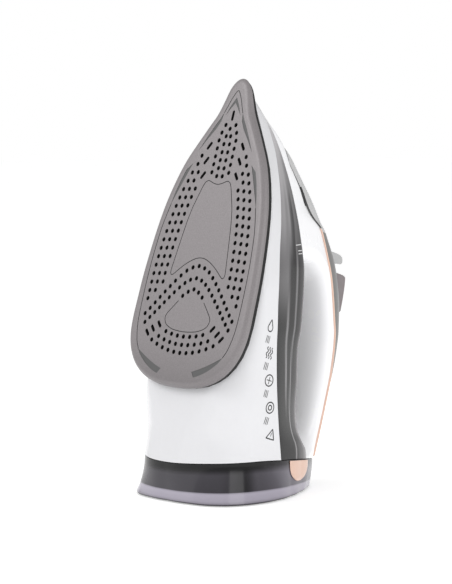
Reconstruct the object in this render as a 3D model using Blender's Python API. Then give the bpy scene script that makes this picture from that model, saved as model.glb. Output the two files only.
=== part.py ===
"""A steam iron standing on its heel, as an assembly of separate pieces.

Shapes are drawn in the iron's own frame, in millimetres: u runs from the soleplate's heel to its
tip, v across, w up from the ironing face. place() turns that frame so that the iron stands on its
heel with the tip up: v becomes world X, and the ironing face leans back from the -Y side.
"""

import math

import bmesh
import bpy
import numpy as np
from mathutils import Matrix, Vector

for old in list(bpy.data.objects):
    bpy.data.objects.remove(old, do_unlink=True)

# ---------------------------------------------------------------- driving dimensions, mm and degrees
LEAN = math.radians(17.2)
SOLE_LENGTH = 226.0
SOLE_HALF_WIDTH = 60.2
SOLE_THICK = 5.5
SOLE_HEEL_Z = 81.0
DEPTH_CENTRE = 80.214
WALL = 2.2
GAP = 0.3
HOLE_RADIUS = 1.35
SLOT_WIDTH = 2.4
CASTING_INSET = 14.0
HANDLE_ROUND = 16.0
LID_HINGE = (188.6, 44.0)
LEVER_SLIDE = 8.0
BUTTON_TRAVEL = 3.0

COS = math.cos(LEAN)
SIN = math.sin(LEAN)
STANCE = Matrix(((0, 1, 0, 0), (SIN, 0, COS, -DEPTH_CENTRE), (COS, 0, -SIN, SOLE_HEEL_Z), (0, 0, 0, 1)))


# ---------------------------------------------------------------- curves through stations
def curve(*stations):
    """A smooth monotone curve through (x, y) stations, held straight beyond its ends."""
    points = sorted(stations)
    xs = np.array([p[0] for p in points], float)
    ys = np.array([p[1] for p in points], float)
    step = np.diff(xs)
    rise = np.diff(ys) / step
    slope = np.zeros(len(xs))
    slope[0] = rise[0]
    slope[-1] = rise[-1]
    for i in range(1, len(xs) - 1):
        if rise[i - 1] * rise[i] > 0:
            a = 2 * step[i] + step[i - 1]
            b = step[i] + 2 * step[i - 1]
            slope[i] = (a + b) / (a / rise[i - 1] + b / rise[i])

    def value(x):
        x = np.asarray(x, float)
        i = np.clip(np.searchsorted(xs, x) - 1, 0, len(step) - 1)
        h = step[i]
        s = (x - xs[i]) / h
        inside = (
            (1 + 2 * s) * (1 - s) ** 2 * ys[i]
            + s * (1 - s) ** 2 * h * slope[i]
            + s * s * (3 - 2 * s) * ys[i + 1]
            + s * s * (s - 1) * h * slope[i + 1]
        )
        below = ys[0] + (x - xs[0]) * slope[0]
        above = ys[-1] + (x - xs[-1]) * slope[-1]
        return np.where(x < xs[0], below, np.where(x > xs[-1], above, inside))

    return value


# Soleplate half width against the root of the distance from the tip, which keeps the tip round.
sole_front = curve((0, 0), (1.4, 5.4), (2.45, 9.2), (5, 17.4), (6.1, 25.3), (6.86, 31.7), (7.97, 41.5),
                   (8.97, 48.2), (9.75, 52.4), (10.63, 55.7), (11.49, 58.0), (12.25, 59.5), (13.23, SOLE_HALF_WIDTH))

# Rails of the body: heights w and half widths v of each seam, against u.
bottom_half = curve((219, 0.5), (211, 9), (206, 13), (190, 22.3), (174, 31.5), (149, 44.5), (126, 51.5), (99, 55.3),
                    (75, 57.2), (50, 56.6), (22, 54.5), (0, 53.5), (-20, 51), (-32, 49), (-50, 47.7), (-90, 46.5))
corner_round = curve((219, 0.3), (190, 2), (110, 3), (80, 6), (50, 14), (20, 24), (0, 27.5), (-20, 35), (-32, 39),
                     (-50, 41), (-90, 42))
tank_low_w = curve((216, 19.5), (171, 19.5), (143, 21), (118, 22.6), (75, 30.2), (55, 35.7), (44, 38.5), (22, 46),
                   (-9, 59), (-32, 70.8), (-50, 79), (-90, 96))
tank_low_v = curve((206, 9.5), (190, 22), (171, 34), (143, 45), (118, 51), (75, 54.5), (44, 54.3), (22, 53.5),
                   (-9, 52), (-32, 50), (-90, 48))
tank_top_w = curve((212, 20.6), (206, 21.5), (190, 26.5), (174, 31.7), (149, 40.7), (126, 49.4), (99, 59.2),
                   (75, 65), (62, 67.5), (50, 69.7), (25, 77.4), (0, 86), (-9, 91), (-15, 97), (-20, 103),
                   (-27, 105.7), (-50, 108), (-90, 110))
tank_top_v = curve((206, 8), (190, 19.5), (174, 28), (149, 37), (126, 42), (99, 45), (62, 45), (50, 43.5), (25, 42),
                   (0, 40.6), (-50, 39.5), (-90, 39))
trim_w = curve((192.4, 42.4), (189, 40.8), (185.7, 40.2), (176.3, 42.3), (169, 48.4), (161.5, 55.2), (150, 63.5), (144, 72), (139, 83.5), (131, 91.5), (123, 97.8),
               (108, 107.8), (91, 115.8), (78, 121.3), (69, 125), (53, 128.3), (37, 130), (6, 130.4), (-26, 130),
               (-90, 129))
trim_v = curve((192, 3), (187, 14), (179, 20), (161.5, 24), (150, 25.8), (144, 25.5), (139, 24.5), (131, 23.2),
               (123, 22.5), (91, 21.7), (53, 21), (-90, 21.6))
crest_w = curve((221, 5), (219.8, 8), (216.5, 14), (207.5, 25.8), (192.6, 43), (176.5, 62.8), (166.3, 74), (157, 85), (146, 96.3),
                (142, 99.8), (135, 106.9), (128, 114.6), (119, 122.5), (113, 126.3), (86, 137.6), (66, 141), (52, 141.5), (42, 141),
                (24, 138.5), (6, 136), (-10, 135), (-90, 133))
BELLY_W = 8.8


def nose_thin(u):
    """Share of their height that the soleplate and the body's belly keep at station u: both thin out towards the tip."""
    return 1 - 0.5 * np.clip((np.asarray(u, float) - 198) / 28, 0, 1)


def belly_w(u):
    return BELLY_W * nose_thin(u)


def sole_half(u):
    u = np.asarray(u, float)
    heel = SOLE_HALF_WIDTH * np.clip(1 - np.clip((50 - u) / 50, 0, 1) ** 2.5, 0, 1) ** 0.4
    front = sole_front(np.sqrt(np.clip(SOLE_LENGTH - u, 0, None)))
    return np.where(u < 50, heel, front)


def sole_outline(inset=0.0, front_steps=22, heel_steps=9):
    """Half of the soleplate's edge from tip to heel as (u, v), moved inwards by inset."""
    half = []
    for k in range(front_steps + 1):
        q = math.sqrt(SOLE_LENGTH - 50) * k / front_steps
        half.append((SOLE_LENGTH - q * q, float(sole_front(q))))
    for k in range(1, heel_steps + 1):
        a = math.pi / 2 * k / heel_steps
        half.append((50 - 50 * math.sin(a) ** 0.8, SOLE_HALF_WIDTH * max(math.cos(a), 0) ** 0.8))
    half[-1] = (0.0, 0.0)
    points = np.array(half)
    ahead = np.vstack([points[1:], points[-1] * (1, -1) + (0, -1e-3)])
    behind = np.vstack([points[0] * (1, -1) + (0, -1e-3), points[:-1]])
    run = ahead - behind
    run[0] = (0, 1)
    run[-1] = (0, -1)
    normal = np.stack([run[:, 1], -run[:, 0]], 1)
    normal /= np.linalg.norm(normal, axis=1)[:, None]
    moved = points - normal * inset
    moved[:, 1] = np.clip(moved[:, 1], 0, None)
    return moved


def outline_loop(inset=0.0, front_steps=22, heel_steps=9, front=400.0):
    """The whole edge, moved inwards by inset and cut square at the station front."""
    half = sole_outline(inset, front_steps, heel_steps)
    keep = [tuple(p) for i, p in enumerate(half) if p[0] < front and (i in (0, len(half) - 1) or p[1] > 0.4)]
    if front < 400:
        keep.insert(0, (front, float(np.interp(front, half[::-1, 0], half[::-1, 1]))))
        left = [(p[0], -p[1]) for p in keep[-2::-1]]
    else:
        left = [(p[0], -p[1]) for p in keep[-2:0:-1]]
    return keep + left


def side_v(u, w):
    """Half width of the body at station u and height w."""
    u = np.asarray(u, float)
    w = np.asarray(w, float)
    r = corner_round(u)
    flat = bottom_half(u) - r
    knee = belly_w(u) + r
    w1, v1 = tank_low_w(u), tank_low_v(u)
    w2, v2 = tank_top_w(u), tank_top_v(u)
    w3, v3 = trim_w(u), trim_v(u)
    w4 = crest_w(u)
    low = flat + np.sqrt(np.clip(r * r - (knee - w) ** 2, 0, None))
    s = np.clip((w - knee) / np.maximum(w1 - knee, 1e-3), 0, 1)
    skirt = bottom_half(u) + (v1 - bottom_half(u)) * s**1.4
    s = np.clip((w - w1) / np.maximum(w2 - w1, 1e-3), 0, 1)
    tank = v1 + (v2 - v1) * s**1.1
    s = np.clip((w - w2) / np.maximum(w3 - w2, 1e-3), 0, 1)
    full = np.clip((u - 150) / 40, 0, 1) * 0.75 + 0.25
    house = v3 + (v2 - v3) * (full * np.sqrt(np.clip(1 - s * s, 0, 1)) + (1 - full) * (1 - s))
    s = np.clip((w - w3) / np.maximum(w4 - w3, 1e-3), 0, 1)
    cap = v3 * np.sqrt(np.clip(1 - s * s, 0, 1))
    found = np.where(w < knee, low, np.where(w < w1, skirt, np.where(w < w2, tank, np.where(w < w3, house, cap))))
    # The prow above the seams is one round ridge.
    ridge = np.clip((w - w2) / np.maximum(w4 - w2, 1e-3), 0, 1)
    prow = v2 * np.sqrt(np.clip(1 - ridge * ridge, 0, 1))
    found = np.where((u > 192) & (w > w2), prow, found)
    # Below the ridge line the band narrows to nothing at the very front.
    room = np.clip((prow_u(w) - u) / 12, 0, 1)
    return found * np.sqrt(np.clip(1 - (1 - room) ** 2, 0, 1))


prow_line = curve((5, 221), (8, 219.8), (14, 216.5), (25.8, 207.5), (43, 192.6), (62.8, 176.5), (74, 166.3), (85, 157),
                  (96.3, 146), (99.8, 142), (106.9, 135), (114.6, 128), (122.5, 119), (126.3, 113), (137.6, 86),
                  (141, 66))


def prow_u(w):
    """Where the ridge of the prow lies at height w."""
    return prow_line(w)


def seam_z(y, v):
    """World height of the seam between the body and the heel piece, y from the soleplate's heel."""
    y = np.asarray(y, float)
    fall = 9.0 * (np.clip(y - 20, 0, None) / 100) ** 2
    dip = 1.0 * np.exp(-((np.asarray(v, float) / 22) ** 2)) * np.clip((12 - y) / 12, 0, 1)
    return 29.4 - fall - dip


# ---------------------------------------------------------------- mesh helpers
def material(name, colour, rough=0.4, metal=0.0, clear=0.0):
    made = bpy.data.materials.new(name)
    made.use_nodes = True
    shader = made.node_tree.nodes["Principled BSDF"]
    shader.inputs["Base Color"].default_value = (*colour, 1)
    shader.inputs["Roughness"].default_value = rough
    shader.inputs["Metallic"].default_value = metal
    shader.inputs["Transmission Weight"].default_value = clear
    made.diffuse_color = (*colour, 1)
    return made


def mesh_of(points, faces):
    """A closed, outward-facing triangle mesh from points in mm in the iron's frame."""
    mesh = bpy.data.meshes.new("shape")
    mesh.from_pydata([tuple(float(c) for c in p) for p in points], [], [list(f) for f in faces])
    work = bmesh.new()
    work.from_mesh(mesh)
    bmesh.ops.remove_doubles(work, verts=work.verts, dist=0.002)
    bmesh.ops.dissolve_degenerate(work, edges=work.edges, dist=0.001)
    bmesh.ops.triangulate(work, faces=work.faces)
    bmesh.ops.recalc_face_normals(work, faces=work.faces)
    if work.calc_volume(signed=True) < 0:
        bmesh.ops.reverse_faces(work, faces=work.faces)
    work.to_mesh(mesh)
    work.free()
    return mesh


def loft(rings, close=True):
    """Points and faces of a body through closed rings of equal count, with flat end caps."""
    count = len(rings[0])
    points = [p for ring in rings for p in ring]
    faces = []
    for i in range(len(rings) - 1):
        for j in range(count):
            k = (j + 1) % count
            faces.append((i * count + j, i * count + k, (i + 1) * count + k, (i + 1) * count + j))
    if close:
        faces.append(tuple(range(count))[::-1])
        faces.append(tuple((len(rings) - 1) * count + j for j in range(count)))
    return points, faces


def prism(outline, low, high, axis="w"):
    """A straight prism of (a, b) points: along w from (u, v) points, or along v from (u, w) points."""
    if axis == "w":
        rings = [[(a, b, h) for a, b in outline] for h in (low, high)]
    else:
        rings = [[(a, h, b) for a, b in outline] for h in (low, high)]
    return loft(rings)


def circle(cu, cv, radius, sides=16, turn=0.0):
    return [
        (cu + radius * math.cos(turn + 2 * math.pi * k / sides), cv + radius * math.sin(turn + 2 * math.pi * k / sides))
        for k in range(sides)
    ]


def slot_outline(start, end, width, cap=3):
    (ax, ay), (bx, by) = start, end
    heading = math.atan2(by - ay, bx - ax)
    points = []
    for centre, base in (((bx, by), heading - math.pi / 2), ((ax, ay), heading + math.pi / 2)):
        for k in range(cap + 1):
            a = base + math.pi * k / cap
            points.append((centre[0] + width / 2 * math.cos(a), centre[1] + width / 2 * math.sin(a)))
    return points


def box(low, high):
    (a, b, c), (d, e, f) = low, high
    return loft([[(a, b, h), (d, b, h), (d, e, h), (a, e, h)] for h in (c, f)])


def turned(profile, centre, axis, sides=16):
    """A body of revolution: profile of (radius, along) from centre along axis; ends may be on the axis."""
    axis = Vector(axis).normalized()
    across = axis.orthogonal().normalized()
    other = axis.cross(across)
    rings = []
    for radius, along in profile:
        rings.append(
            [
                tuple(
                    Vector(centre)
                    + axis * along
                    + (across * math.cos(2 * math.pi * k / sides) + other * math.sin(2 * math.pi * k / sides))
                    * max(radius, 1e-4)
                )
                for k in range(sides)
            ]
        )
    return loft(rings)


def tube_path(path, radius, sides=8):
    """A round bar along a path of points."""
    path = [Vector(p) for p in path]
    rings = []
    side = None
    for i, here in enumerate(path):
        run = (path[min(i + 1, len(path) - 1)] - path[max(i - 1, 0)]).normalized()
        if side is None:
            side = run.orthogonal().normalized()
        side = (side - run * side.dot(run)).normalized()
        other = run.cross(side)
        rings.append(
            [
                tuple(here + (side * math.cos(2 * math.pi * k / sides) + other * math.sin(2 * math.pi * k / sides)) * radius)
                for k in range(sides)
            ]
        )
    return loft(rings)


def joined(*parts):
    points, faces = [], []
    for more_points, more_faces in parts:
        base = len(points)
        points.extend(more_points)
        faces.extend(tuple(i + base for i in face) for face in more_faces)
    return points, faces


def solid(shape, cuts=(), adds=()):
    """A mesh in mm: shape, plus adds, minus cuts, by exact Booleans."""
    made = bpy.data.objects.new("work", mesh_of(*shape))
    bpy.context.scene.collection.objects.link(made)
    helpers = []
    for operation, group in (("UNION", adds), ("DIFFERENCE", cuts)):
        for other in group:
            tool = bpy.data.objects.new("tool", mesh_of(*other))
            bpy.context.scene.collection.objects.link(tool)
            tool.hide_render = True
            tool.display_type = "WIRE"
            helpers.append(tool)
            step = made.modifiers.new("step", "BOOLEAN")
            step.operation = operation
            step.solver = "EXACT"
            step.object = tool
    bpy.context.view_layer.update()
    graph = bpy.context.evaluated_depsgraph_get()
    mesh = bpy.data.meshes.new_from_object(made.evaluated_get(graph))
    for used in [made, *helpers]:
        bpy.data.objects.remove(used, do_unlink=True)
    return mesh


def place(name, mesh, look, pivot=(0, 0, 0), smooth=False):
    """Names the mesh (mm, iron frame), turns it to the standing pose, with its origin on the pivot."""
    pivot = Vector(pivot)
    mesh.transform(Matrix.Scale(0.001, 4) @ Matrix.Translation(-pivot))
    mesh.name = name
    mesh.materials.clear()
    mesh.materials.append(look)
    made = bpy.data.objects.new(name, mesh)
    bpy.context.scene.collection.objects.link(made)
    turn = STANCE.to_3x3().to_4x4()
    at = (turn @ pivot) + STANCE.translation
    made.matrix_world = Matrix.Translation(at * 0.001) @ turn
    for face in mesh.polygons:
        face.use_smooth = smooth
    return made


def below_seam(drop=0.0):
    """A closed block under the heel seam, dropped by some mm, in the iron's frame."""
    back = STANCE.inverted()
    rows = []
    for z_low in (False, True):
        for y in np.linspace(-40, 160, 21):
            for x in np.linspace(-80, 80, 17):
                z = -60.0 if z_low else float(seam_z(y, x)) - drop
                rows.append(tuple(back @ Vector((x, y - DEPTH_CENTRE, z))))
    faces = []
    for i in range(20):
        for j in range(16):
            a = i * 17 + j
            faces.append((a, a + 1, a + 18, a + 17))
            b = a + 357
            faces.append((b, b + 17, b + 18, b + 1))
    rim = [(0, j) for j in range(16)] + [(i, 16) for i in range(20)] + [(20, j) for j in range(16, 0, -1)]
    rim += [(i, 0) for i in range(20, 0, -1)]
    for k, (i, j) in enumerate(rim):
        m, n = rim[(k + 1) % len(rim)]
        faces.append((i * 17 + j, i * 17 + j + 357, m * 17 + n + 357, m * 17 + n))
    return rows, faces


# ---------------------------------------------------------------- materials
TAUPE = material("sole coating", (0.21, 0.19, 0.185), 0.35, 0.4)
WHITE = material("white plastic", (0.86, 0.86, 0.88), 0.3)
SMOKE = material("smoked plastic", (0.12, 0.12, 0.13), 0.15, 0, 0.5)
DARK = material("dark plastic", (0.05, 0.05, 0.06), 0.4)
GREY = material("grey plastic", (0.33, 0.32, 0.32), 0.4)
PALE = material("pale translucent plastic", (0.6, 0.59, 0.61), 0.2, 0, 0.3)
COPPER = material("copper lacquer", (0.85, 0.55, 0.42), 0.3, 0.3)
BLACK = material("black plastic", (0.01, 0.01, 0.01), 0.6)
ALLOY = material("cast aluminium", (0.6, 0.6, 0.62), 0.5, 0.9)
STEEL = material("steel", (0.55, 0.55, 0.56), 0.3, 1.0)
BRASS = material("brass", (0.7, 0.5, 0.2), 0.3, 1.0)
RUBBER = material("rubber", (0.03, 0.03, 0.03), 0.8)
AMBER = material("amber lens", (0.9, 0.35, 0.05), 0.1, 0, 0.6)
SILICONE = material("silicone hose", (0.75, 0.75, 0.72), 0.5)


# ---------------------------------------------------------------- soleplate
def steam_holes():
    """Centres (u, v) of the round holes on one side, v >= 0; those with v = 0 lie on the centre line."""
    holes = [(191.0, 5.2), (188.2, 0.0), (185.3, 7.6), (182.7, 2.3)]
    for k in range(5):
        holes.append((179.5 - 5.9 * k, 8.75))
        holes.append((176.8 - 5.9 * k, 2.9))
    middle = curve((168, 18.5), (150.2, 25.2), (144.5, 27.8), (138.2, 30), (125.6, 33.4), (113, 36), (100.5, 37.9),
                   (87.5, 39.3), (74.7, 40.1), (61, 40.2))
    pitch = 6.3
    for k in range(17):
        u = 168.2 - pitch * k
        base = float(middle(u))
        spread = 6.1 if u > 80 else 6.0
        columns = {0: (0.75,), 1: (0.75,), 2: (0, 1), 3: (0, 1)}.get(k, (-1, 0, 1))
        if k == 15:
            columns = (-1, 0, 1)
        if k == 16:
            columns = (0, 1)
        for c in columns:
            holes.append((u - 0.4 * c, base + spread * c))
    holes.append((61.0, 46.2))
    for rows in (
        ((87.3, 0), (86, 6.1), (83.3, 11.7), (79.5, 16.6), (75.4, 21.2), (71.2, 25.4), (67, 29.5), (62.7, 33.5),
         (58.4, 37.4), (54.1, 41.4), (50, 45.5)),
        ((78.4, 0), (77, 5.8), (74.3, 10.8), (70.8, 15.4), (67, 19.7), (63.1, 23.8), (59.2, 27.8), (55.3, 31.7),
         (51.4, 35.6), (47.5, 39.6), (43.6, 43.6)),
        ((70.3, 0), (68.3, 5.4), (65, 10.2)),
    ):
        holes.extend(rows)
    for level, sag, count in ((36.0, 0.0068, 3), (30.0, 0.0068, 4), (24.2, 0.0070, 5)):
        for k in range(count + 1):
            v = 6.45 * k
            holes.append((level + sag * v * v, v))
    return holes


def steam_slots():
    """Ends of the slots on one side as ((u, v), (u, v))."""
    found = []
    for u in (177.2, 166.2, 155.4):
        found.append(((u, 15.9), (u - 3.6, 18.6)))
    for u, v in ((44.7, 29.2), (41.2, 35.0), (37.9, 40.0)):
        found.append(((u, v), (u - 2.9, v - 2.7)))
    return found


def build_soleplate():
    rings = []
    for inset, w in ((4.2, 0.0), (1.6, 0.7), (0.4, 2.2), (0.0, 4.2), (0.5, SOLE_THICK)):
        rings.append([(u, v, w * float(nose_thin(u))) for u, v in outline_ring(inset)])
    body = loft(rings)
    cutters = []
    for u, v in steam_holes():
        for side in (1, -1) if v > 0.1 else (1,):
            cutters.append(prism(circle(u, side * v, HOLE_RADIUS, 6), -2, SOLE_THICK + 2))
    for start, end in steam_slots():
        for side in (1, -1):
            outline = slot_outline((start[0], side * start[1]), (end[0], side * end[1]), SLOT_WIDTH)
            cutters.append(prism(outline, -2, SOLE_THICK + 2))
    cutters.append(prism(slot_outline((200.8, 0), (195.2, 0), SLOT_WIDTH), -2, SOLE_THICK + 2))
    return solid(body, cuts=[joined(*cutters)])


def outline_ring(inset):
    """Ring of equal count whatever the inset, for lofting the soleplate's rim."""
    half = sole_outline(inset, 18, 8)
    half[:, 1] = np.maximum(half[:, 1], 0.0)
    left = [(p[0], -p[1]) for p in half[-2:0:-1]]
    return [tuple(p) for p in half] + left


place("soleplate", build_soleplate(), TAUPE)

# ---------------------------------------------------------------- heating parts on the soleplate
CASTING_TOP = 14.0
VALVE_U = 127.0
DIAL_U = 62.0
casting = prism(outline_loop(CASTING_INSET, 14, 6, 186), SOLE_THICK + GAP, CASTING_TOP)
steam_room = prism(outline_loop(CASTING_INSET + 4, 14, 6, 182), 0, 8.4)
boiler = prism(slot_outline((117, 0), (147, 0), 30, 5), 10.2, 30)
drip_way = prism(circle(140, 0, 2.5, 10), 7, 20)
place("steam_chamber", solid(casting, cuts=[steam_room, boiler, drip_way]), ALLOY)
cover_plate = prism(slot_outline((117, 0), (147, 0), 34, 5), CASTING_TOP + GAP, 15.4)
place("chamber_cover", solid(cover_plate, cuts=[prism(circle(VALVE_U, 0, 2.2, 12), 10, 20)]), STEEL)

heater_low = CASTING_TOP + GAP + 3.0
heater_path = [(22, 19, 36), (22, 19, 24), (25, 19, 18.6), (31, 19, heater_low), (60, 19, heater_low)]
heater_path += [(76, 18.4, heater_low)]
bend = [(80 + 12 * math.sin(a), 17 * math.cos(a), heater_low) for a in np.linspace(0.25, math.pi - 0.25, 9)]
heater_path = heater_path + bend + [(u, -v, w) for u, v, w in reversed(heater_path)]
place("heating_element", solid(tube_path(heater_path, 3.0)), STEEL)
sensor = [(0, CASTING_TOP + GAP), (8, CASTING_TOP + GAP), (8, 18.5), (3, 18.5), (3, 20.5), (0, 20.5)]
place("thermostat", solid(turned(sensor, (DIAL_U, 0, 0), (0, 0, 1))), STEEL)
place("thermal_fuse", solid(tube_path([(30, 0, 17.3), (44, 0, 17.3)], 2.8, 10)), BRASS)

skirt_edge = outline_loop(0.9, 20, 8)
skirt_ring = loft([[(u, v, w * float(nose_thin(u))) for u, v in skirt_edge] for w in (SOLE_THICK + GAP, BELLY_W - GAP)])
skirt_hole = prism(outline_loop(CASTING_INSET - 1, 14, 6, 187.5), 0, 20)
place("insulating_skirt", solid(skirt_ring, cuts=[skirt_hole]), BLACK)


# ---------------------------------------------------------------- body shells
BODY_STATIONS = (-95, -70, -50, -32, -20, -14, -8, 0, 20, 40, 60, 78, 90, 100, 115, 135, 155, 174, 190, 199, 204, 207.5,
                 211, 214.5, 217.5)


def lower_section(u, inside=False, top_extra=0.0):
    """Ring across the lower housing at station u."""
    inset = WALL if inside else 0.0
    r = max(float(corner_round(u)) - inset, 0.3)
    half = max(float(bottom_half(u)) - inset, 0.5)
    limit = float(min(tank_low_w(u), crest_w(u) - 1.5))
    knee = float(belly_w(u)) + inset + r
    limit = max(limit, knee + 0.5)
    points = []
    for k in range(6):
        a = math.pi / 2 * k / 5
        points.append((half - r + r * math.sin(a), knee - r * math.cos(a)))
    for s in (0.33, 0.66, 1.0):
        w = knee + (limit - knee) * s
        points.append((max(float(side_v(u, w)) - inset, 0.4), w))
    if top_extra:
        points.append((points[-1][0], limit + top_extra))
    right = [(u, v, w) for v, w in points]
    return right + [(u, -v, w) for v, w in reversed(points)]


lower_outer = loft([lower_section(u) for u in BODY_STATIONS])
lower_inner = loft([lower_section(u, True, 8.0) for u in BODY_STATIONS if u < 200] )
hot_opening = prism(outline_loop(CASTING_INSET - 1.2, 14, 6, 187.8), 0, 24)
place("lower_housing", solid(lower_outer, cuts=[below_seam(-GAP / 2), lower_inner, hot_opening]), WHITE)


def tank_section(u, inset=0.0):
    """Ring across the water tank at station u."""
    low = float(tank_low_w(u)) + GAP / 2 + inset
    high = max(float(tank_top_w(u)) - GAP / 2 - inset, low + 0.3)
    crown = 2.6 * float(np.clip((100 - u) / 22, 0, 1)) * float(np.clip((u + 14) / 20, 0, 1))
    points = [(max(float(side_v(u, low + 0.01)) - inset - 5, 0.2), low)]
    for s in (0.0, 0.35, 0.7, 1.0):
        w = low + (high - low) * s
        points.append((max(float(side_v(u, min(w, float(tank_top_w(u)) - 0.05))) - inset, 0.4), w))
    shoulder = points[-1][0]
    for s in (0.8, 0.5):
        points.append((shoulder * s, high + crown * (1 - s * s)))
    points.append((0.0, high + crown))
    right = [(u, v, w) for v, w in points]
    return right + [(u, -v, w) for v, w in reversed(points[:-1])]


TANK_STATIONS = [u for u in BODY_STATIONS if -90 < u < 210] + [210.5]
tank_outer = loft([tank_section(u) for u in TANK_STATIONS])
INNER_STATIONS = [u for u in TANK_STATIONS if u < 196]
tank_room = loft([tank_section(u, WALL) for u in INNER_STATIONS])
room = solid(
    tank_room,
    cuts=[
        below_seam(-2.6),
        prism(circle(DIAL_U, 0, 6.5, 14), 0, 120),
        prism(circle(VALVE_U, 0, 6.0, 14), 0, 120),
        box((-60, -60, 100), (-5, 60, 130)),
    ],
)
ROOM = ([tuple(v.co) for v in room.vertices], [tuple(f.vertices) for f in room.polygons])
dial_seat = prism(circle(DIAL_U, 0, 14.5, 20), 62, 73.4)
tank_cuts = [
    below_seam(-GAP / 2),
    ROOM,
    prism(circle(DIAL_U, 0, 4.2, 14), 0, 120),
    prism(circle(VALVE_U, 0, 3.6, 14), 0, 120),
    prism(circle(160, 0, 7.0, 16), 32, 120),
    prism(circle(110, -9, 2.6, 10), 50, 120),
]
place("water_tank", solid(tank_outer, cuts=tank_cuts, adds=[dial_seat]), SMOKE)

# ---------------------------------------------------------------- upper housing: an arch round the finger opening
arch_under = [(98, 59.7), (103, 68), (105, 78), (102, 89), (94, 97.5), (80, 103.5), (65, 107.2), (50, 110), (35, 112),
              (20, 113.3), (6, 113.6), (-4, 112), (-11, 107.5), (-14.5, 101), (-15.2, 97.6)]


def along(points, s):
    """The point at fraction s of the length of a polyline, smoothed through its vertices."""
    points = np.array(points, float)
    length = np.concatenate([[0], np.cumsum(np.linalg.norm(np.diff(points, axis=0), axis=1))])
    t = length / length[-1]
    return np.stack([curve(*zip(t, points[:, 0]))(s), curve(*zip(t, points[:, 1]))(s)], -1)


def housing_rim():
    """The outer edge of the upper housing in (u, w): up the prow, along the trim, to the rear."""
    rim = [(float(prow_u(w)), w) for w in (22.5, 28, 34, 39)]
    rim += [(u, float(trim_w(u))) for u in (191.9, 189, 186, 183, 179, 174, 170, 161.5, 150, 144, 139, 131, 123, 108, 91, 78, 65, 50,
                                            35, 20, 5, -10, -20, -30, -36)]
    return rim


def housing_grid(columns, rows):
    """Grid of (u, w, half width) over one side of the upper housing."""
    s = np.linspace(0, 1, columns)
    inner = along(arch_under, s)
    # The front quarter of the rim is spread by its own fractions, so that the handle stays square.
    rim = housing_rim()
    outer = along(rim, curve((0, 0), (0.12, 0.24), (0.25, 0.41), (0.4, 0.52), (0.9, 0.93), (1, 1))(s))
    r = np.linspace(0, 1, rows)
    foot = np.stack([inner[0, 0] + (outer[0, 0] - inner[0, 0]) * r, np.zeros(rows)], 1)
    foot[:, 1] = tank_top_w(foot[:, 0]) + GAP / 2
    rear = along([inner[-1], (-20, 103.6), (-27, 106.2), (-35, 109.5), (-38, 117), outer[-1]], r)
    grid = np.zeros((columns, rows, 2))
    for i in range(columns):
        for j in range(rows):
            flat = inner[i] * (1 - r[j]) + outer[i] * r[j]
            at_foot = foot[j] - (inner[0] * (1 - r[j]) + outer[0] * r[j])
            at_rear = rear[j] - (inner[-1] * (1 - r[j]) + outer[-1] * r[j])
            grid[i, j] = flat + at_foot * (1 - s[i]) ** 2 + at_rear * s[i] ** 8
    dense = along(arch_under, np.linspace(0, 1, 240))
    flat = grid.reshape(-1, 2)
    reach = np.sqrt(((flat[:, None] - dense[None]) ** 2).sum(-1)).min(1)
    reach = reach.reshape(columns, rows)
    reach[:, 0] = 0
    u, w = grid[..., 0], grid[..., 1]
    top = np.minimum(w, trim_w(u) - 0.02)
    half = side_v(u, np.where(u < 191, top, w))
    soft = np.clip(reach / HANDLE_ROUND, 0, 1)
    half = half * np.sqrt(np.clip(1 - (1 - soft) ** 2, 0, 1))
    return grid, half


def housing_solid(columns=40, rows=8, lift=0.0):
    grid, half = housing_grid(columns, rows)
    points = []
    for side in (1, -1):
        for i in range(columns):
            for j in range(rows):
                points.append((grid[i, j, 0], side * half[i, j], grid[i, j, 1]))
    shift = columns * rows
    faces = []
    for i in range(columns - 1):
        for j in range(rows - 1):
            a = i * rows + j
            faces.append((a, a + 1, a + rows + 1, a + rows))
            faces.append((shift + a, shift + a + rows, shift + a + rows + 1, shift + a + 1))
        top = i * rows + rows - 1
        faces.append((top, top + shift, top + rows + shift, top + rows))
    for i in (0, columns - 1):
        for j in range(rows - 1):
            a = i * rows + j
            faces.append((a, a + 1, a + 1 + shift, a + shift))
    return points, faces


def pocket_section(u, floor):
    """Ring across the hollow inside the handle, open at the top."""
    top = float(trim_w(u))
    half = max(float(trim_v(u)) - 2.6, 2.0)
    return [(u, -half, top + 14), (u, -half, top - 4), (u, -half + 3.5, floor), (u, half - 3.5, floor), (u, half, top - 4),
            (u, half, top + 14)]


handle_floor = curve((170, 47), (150, 47), (125, 54), (112, 60), (108, 84), (100, 96), (86, 105), (60, 112),
                     (30, 116.5), (0, 118), (-12, 116), (-20, 111), (-60, 111))
pocket = loft([pocket_section(u, float(handle_floor(u))) for u in
               (-90, -60, -30, -20, -12, 0, 20, 40, 60, 80, 92, 100, 105, 108, 112, 118, 126, 134, 140, 146, 154, 162, 172)])
NOZZLE_FROM = Vector((158, 0, 54))
NOZZLE_DIR = Vector((0.889, 0, -0.457)).normalized()
arch_cuts = [
    below_seam(-GAP / 2),
    pocket,
    prism(circle(VALVE_U, 0, 4.0, 12), 40, 70),
    prism(circle(160, 0, 8.0, 16), 30, 60),
    prism(circle(110, -9, 2.6, 10), 40, 90),
    turned([(0, 12), (2.9, 12), (2.9, 60), (0, 60)], NOZZLE_FROM, NOZZLE_DIR, 12),
    turned([(0, -9), (0.95, -9), (0.95, 9), (0, 9)], (LID_HINGE[0], 0, LID_HINGE[1]), (0, 1, 0), 10),
]
lug = turned([(0, -3), (1.3, -3), (1.3, 3), (0, 3)], (LID_HINGE[0], 0, LID_HINGE[1]), (0, 1, 0), 12)
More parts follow.
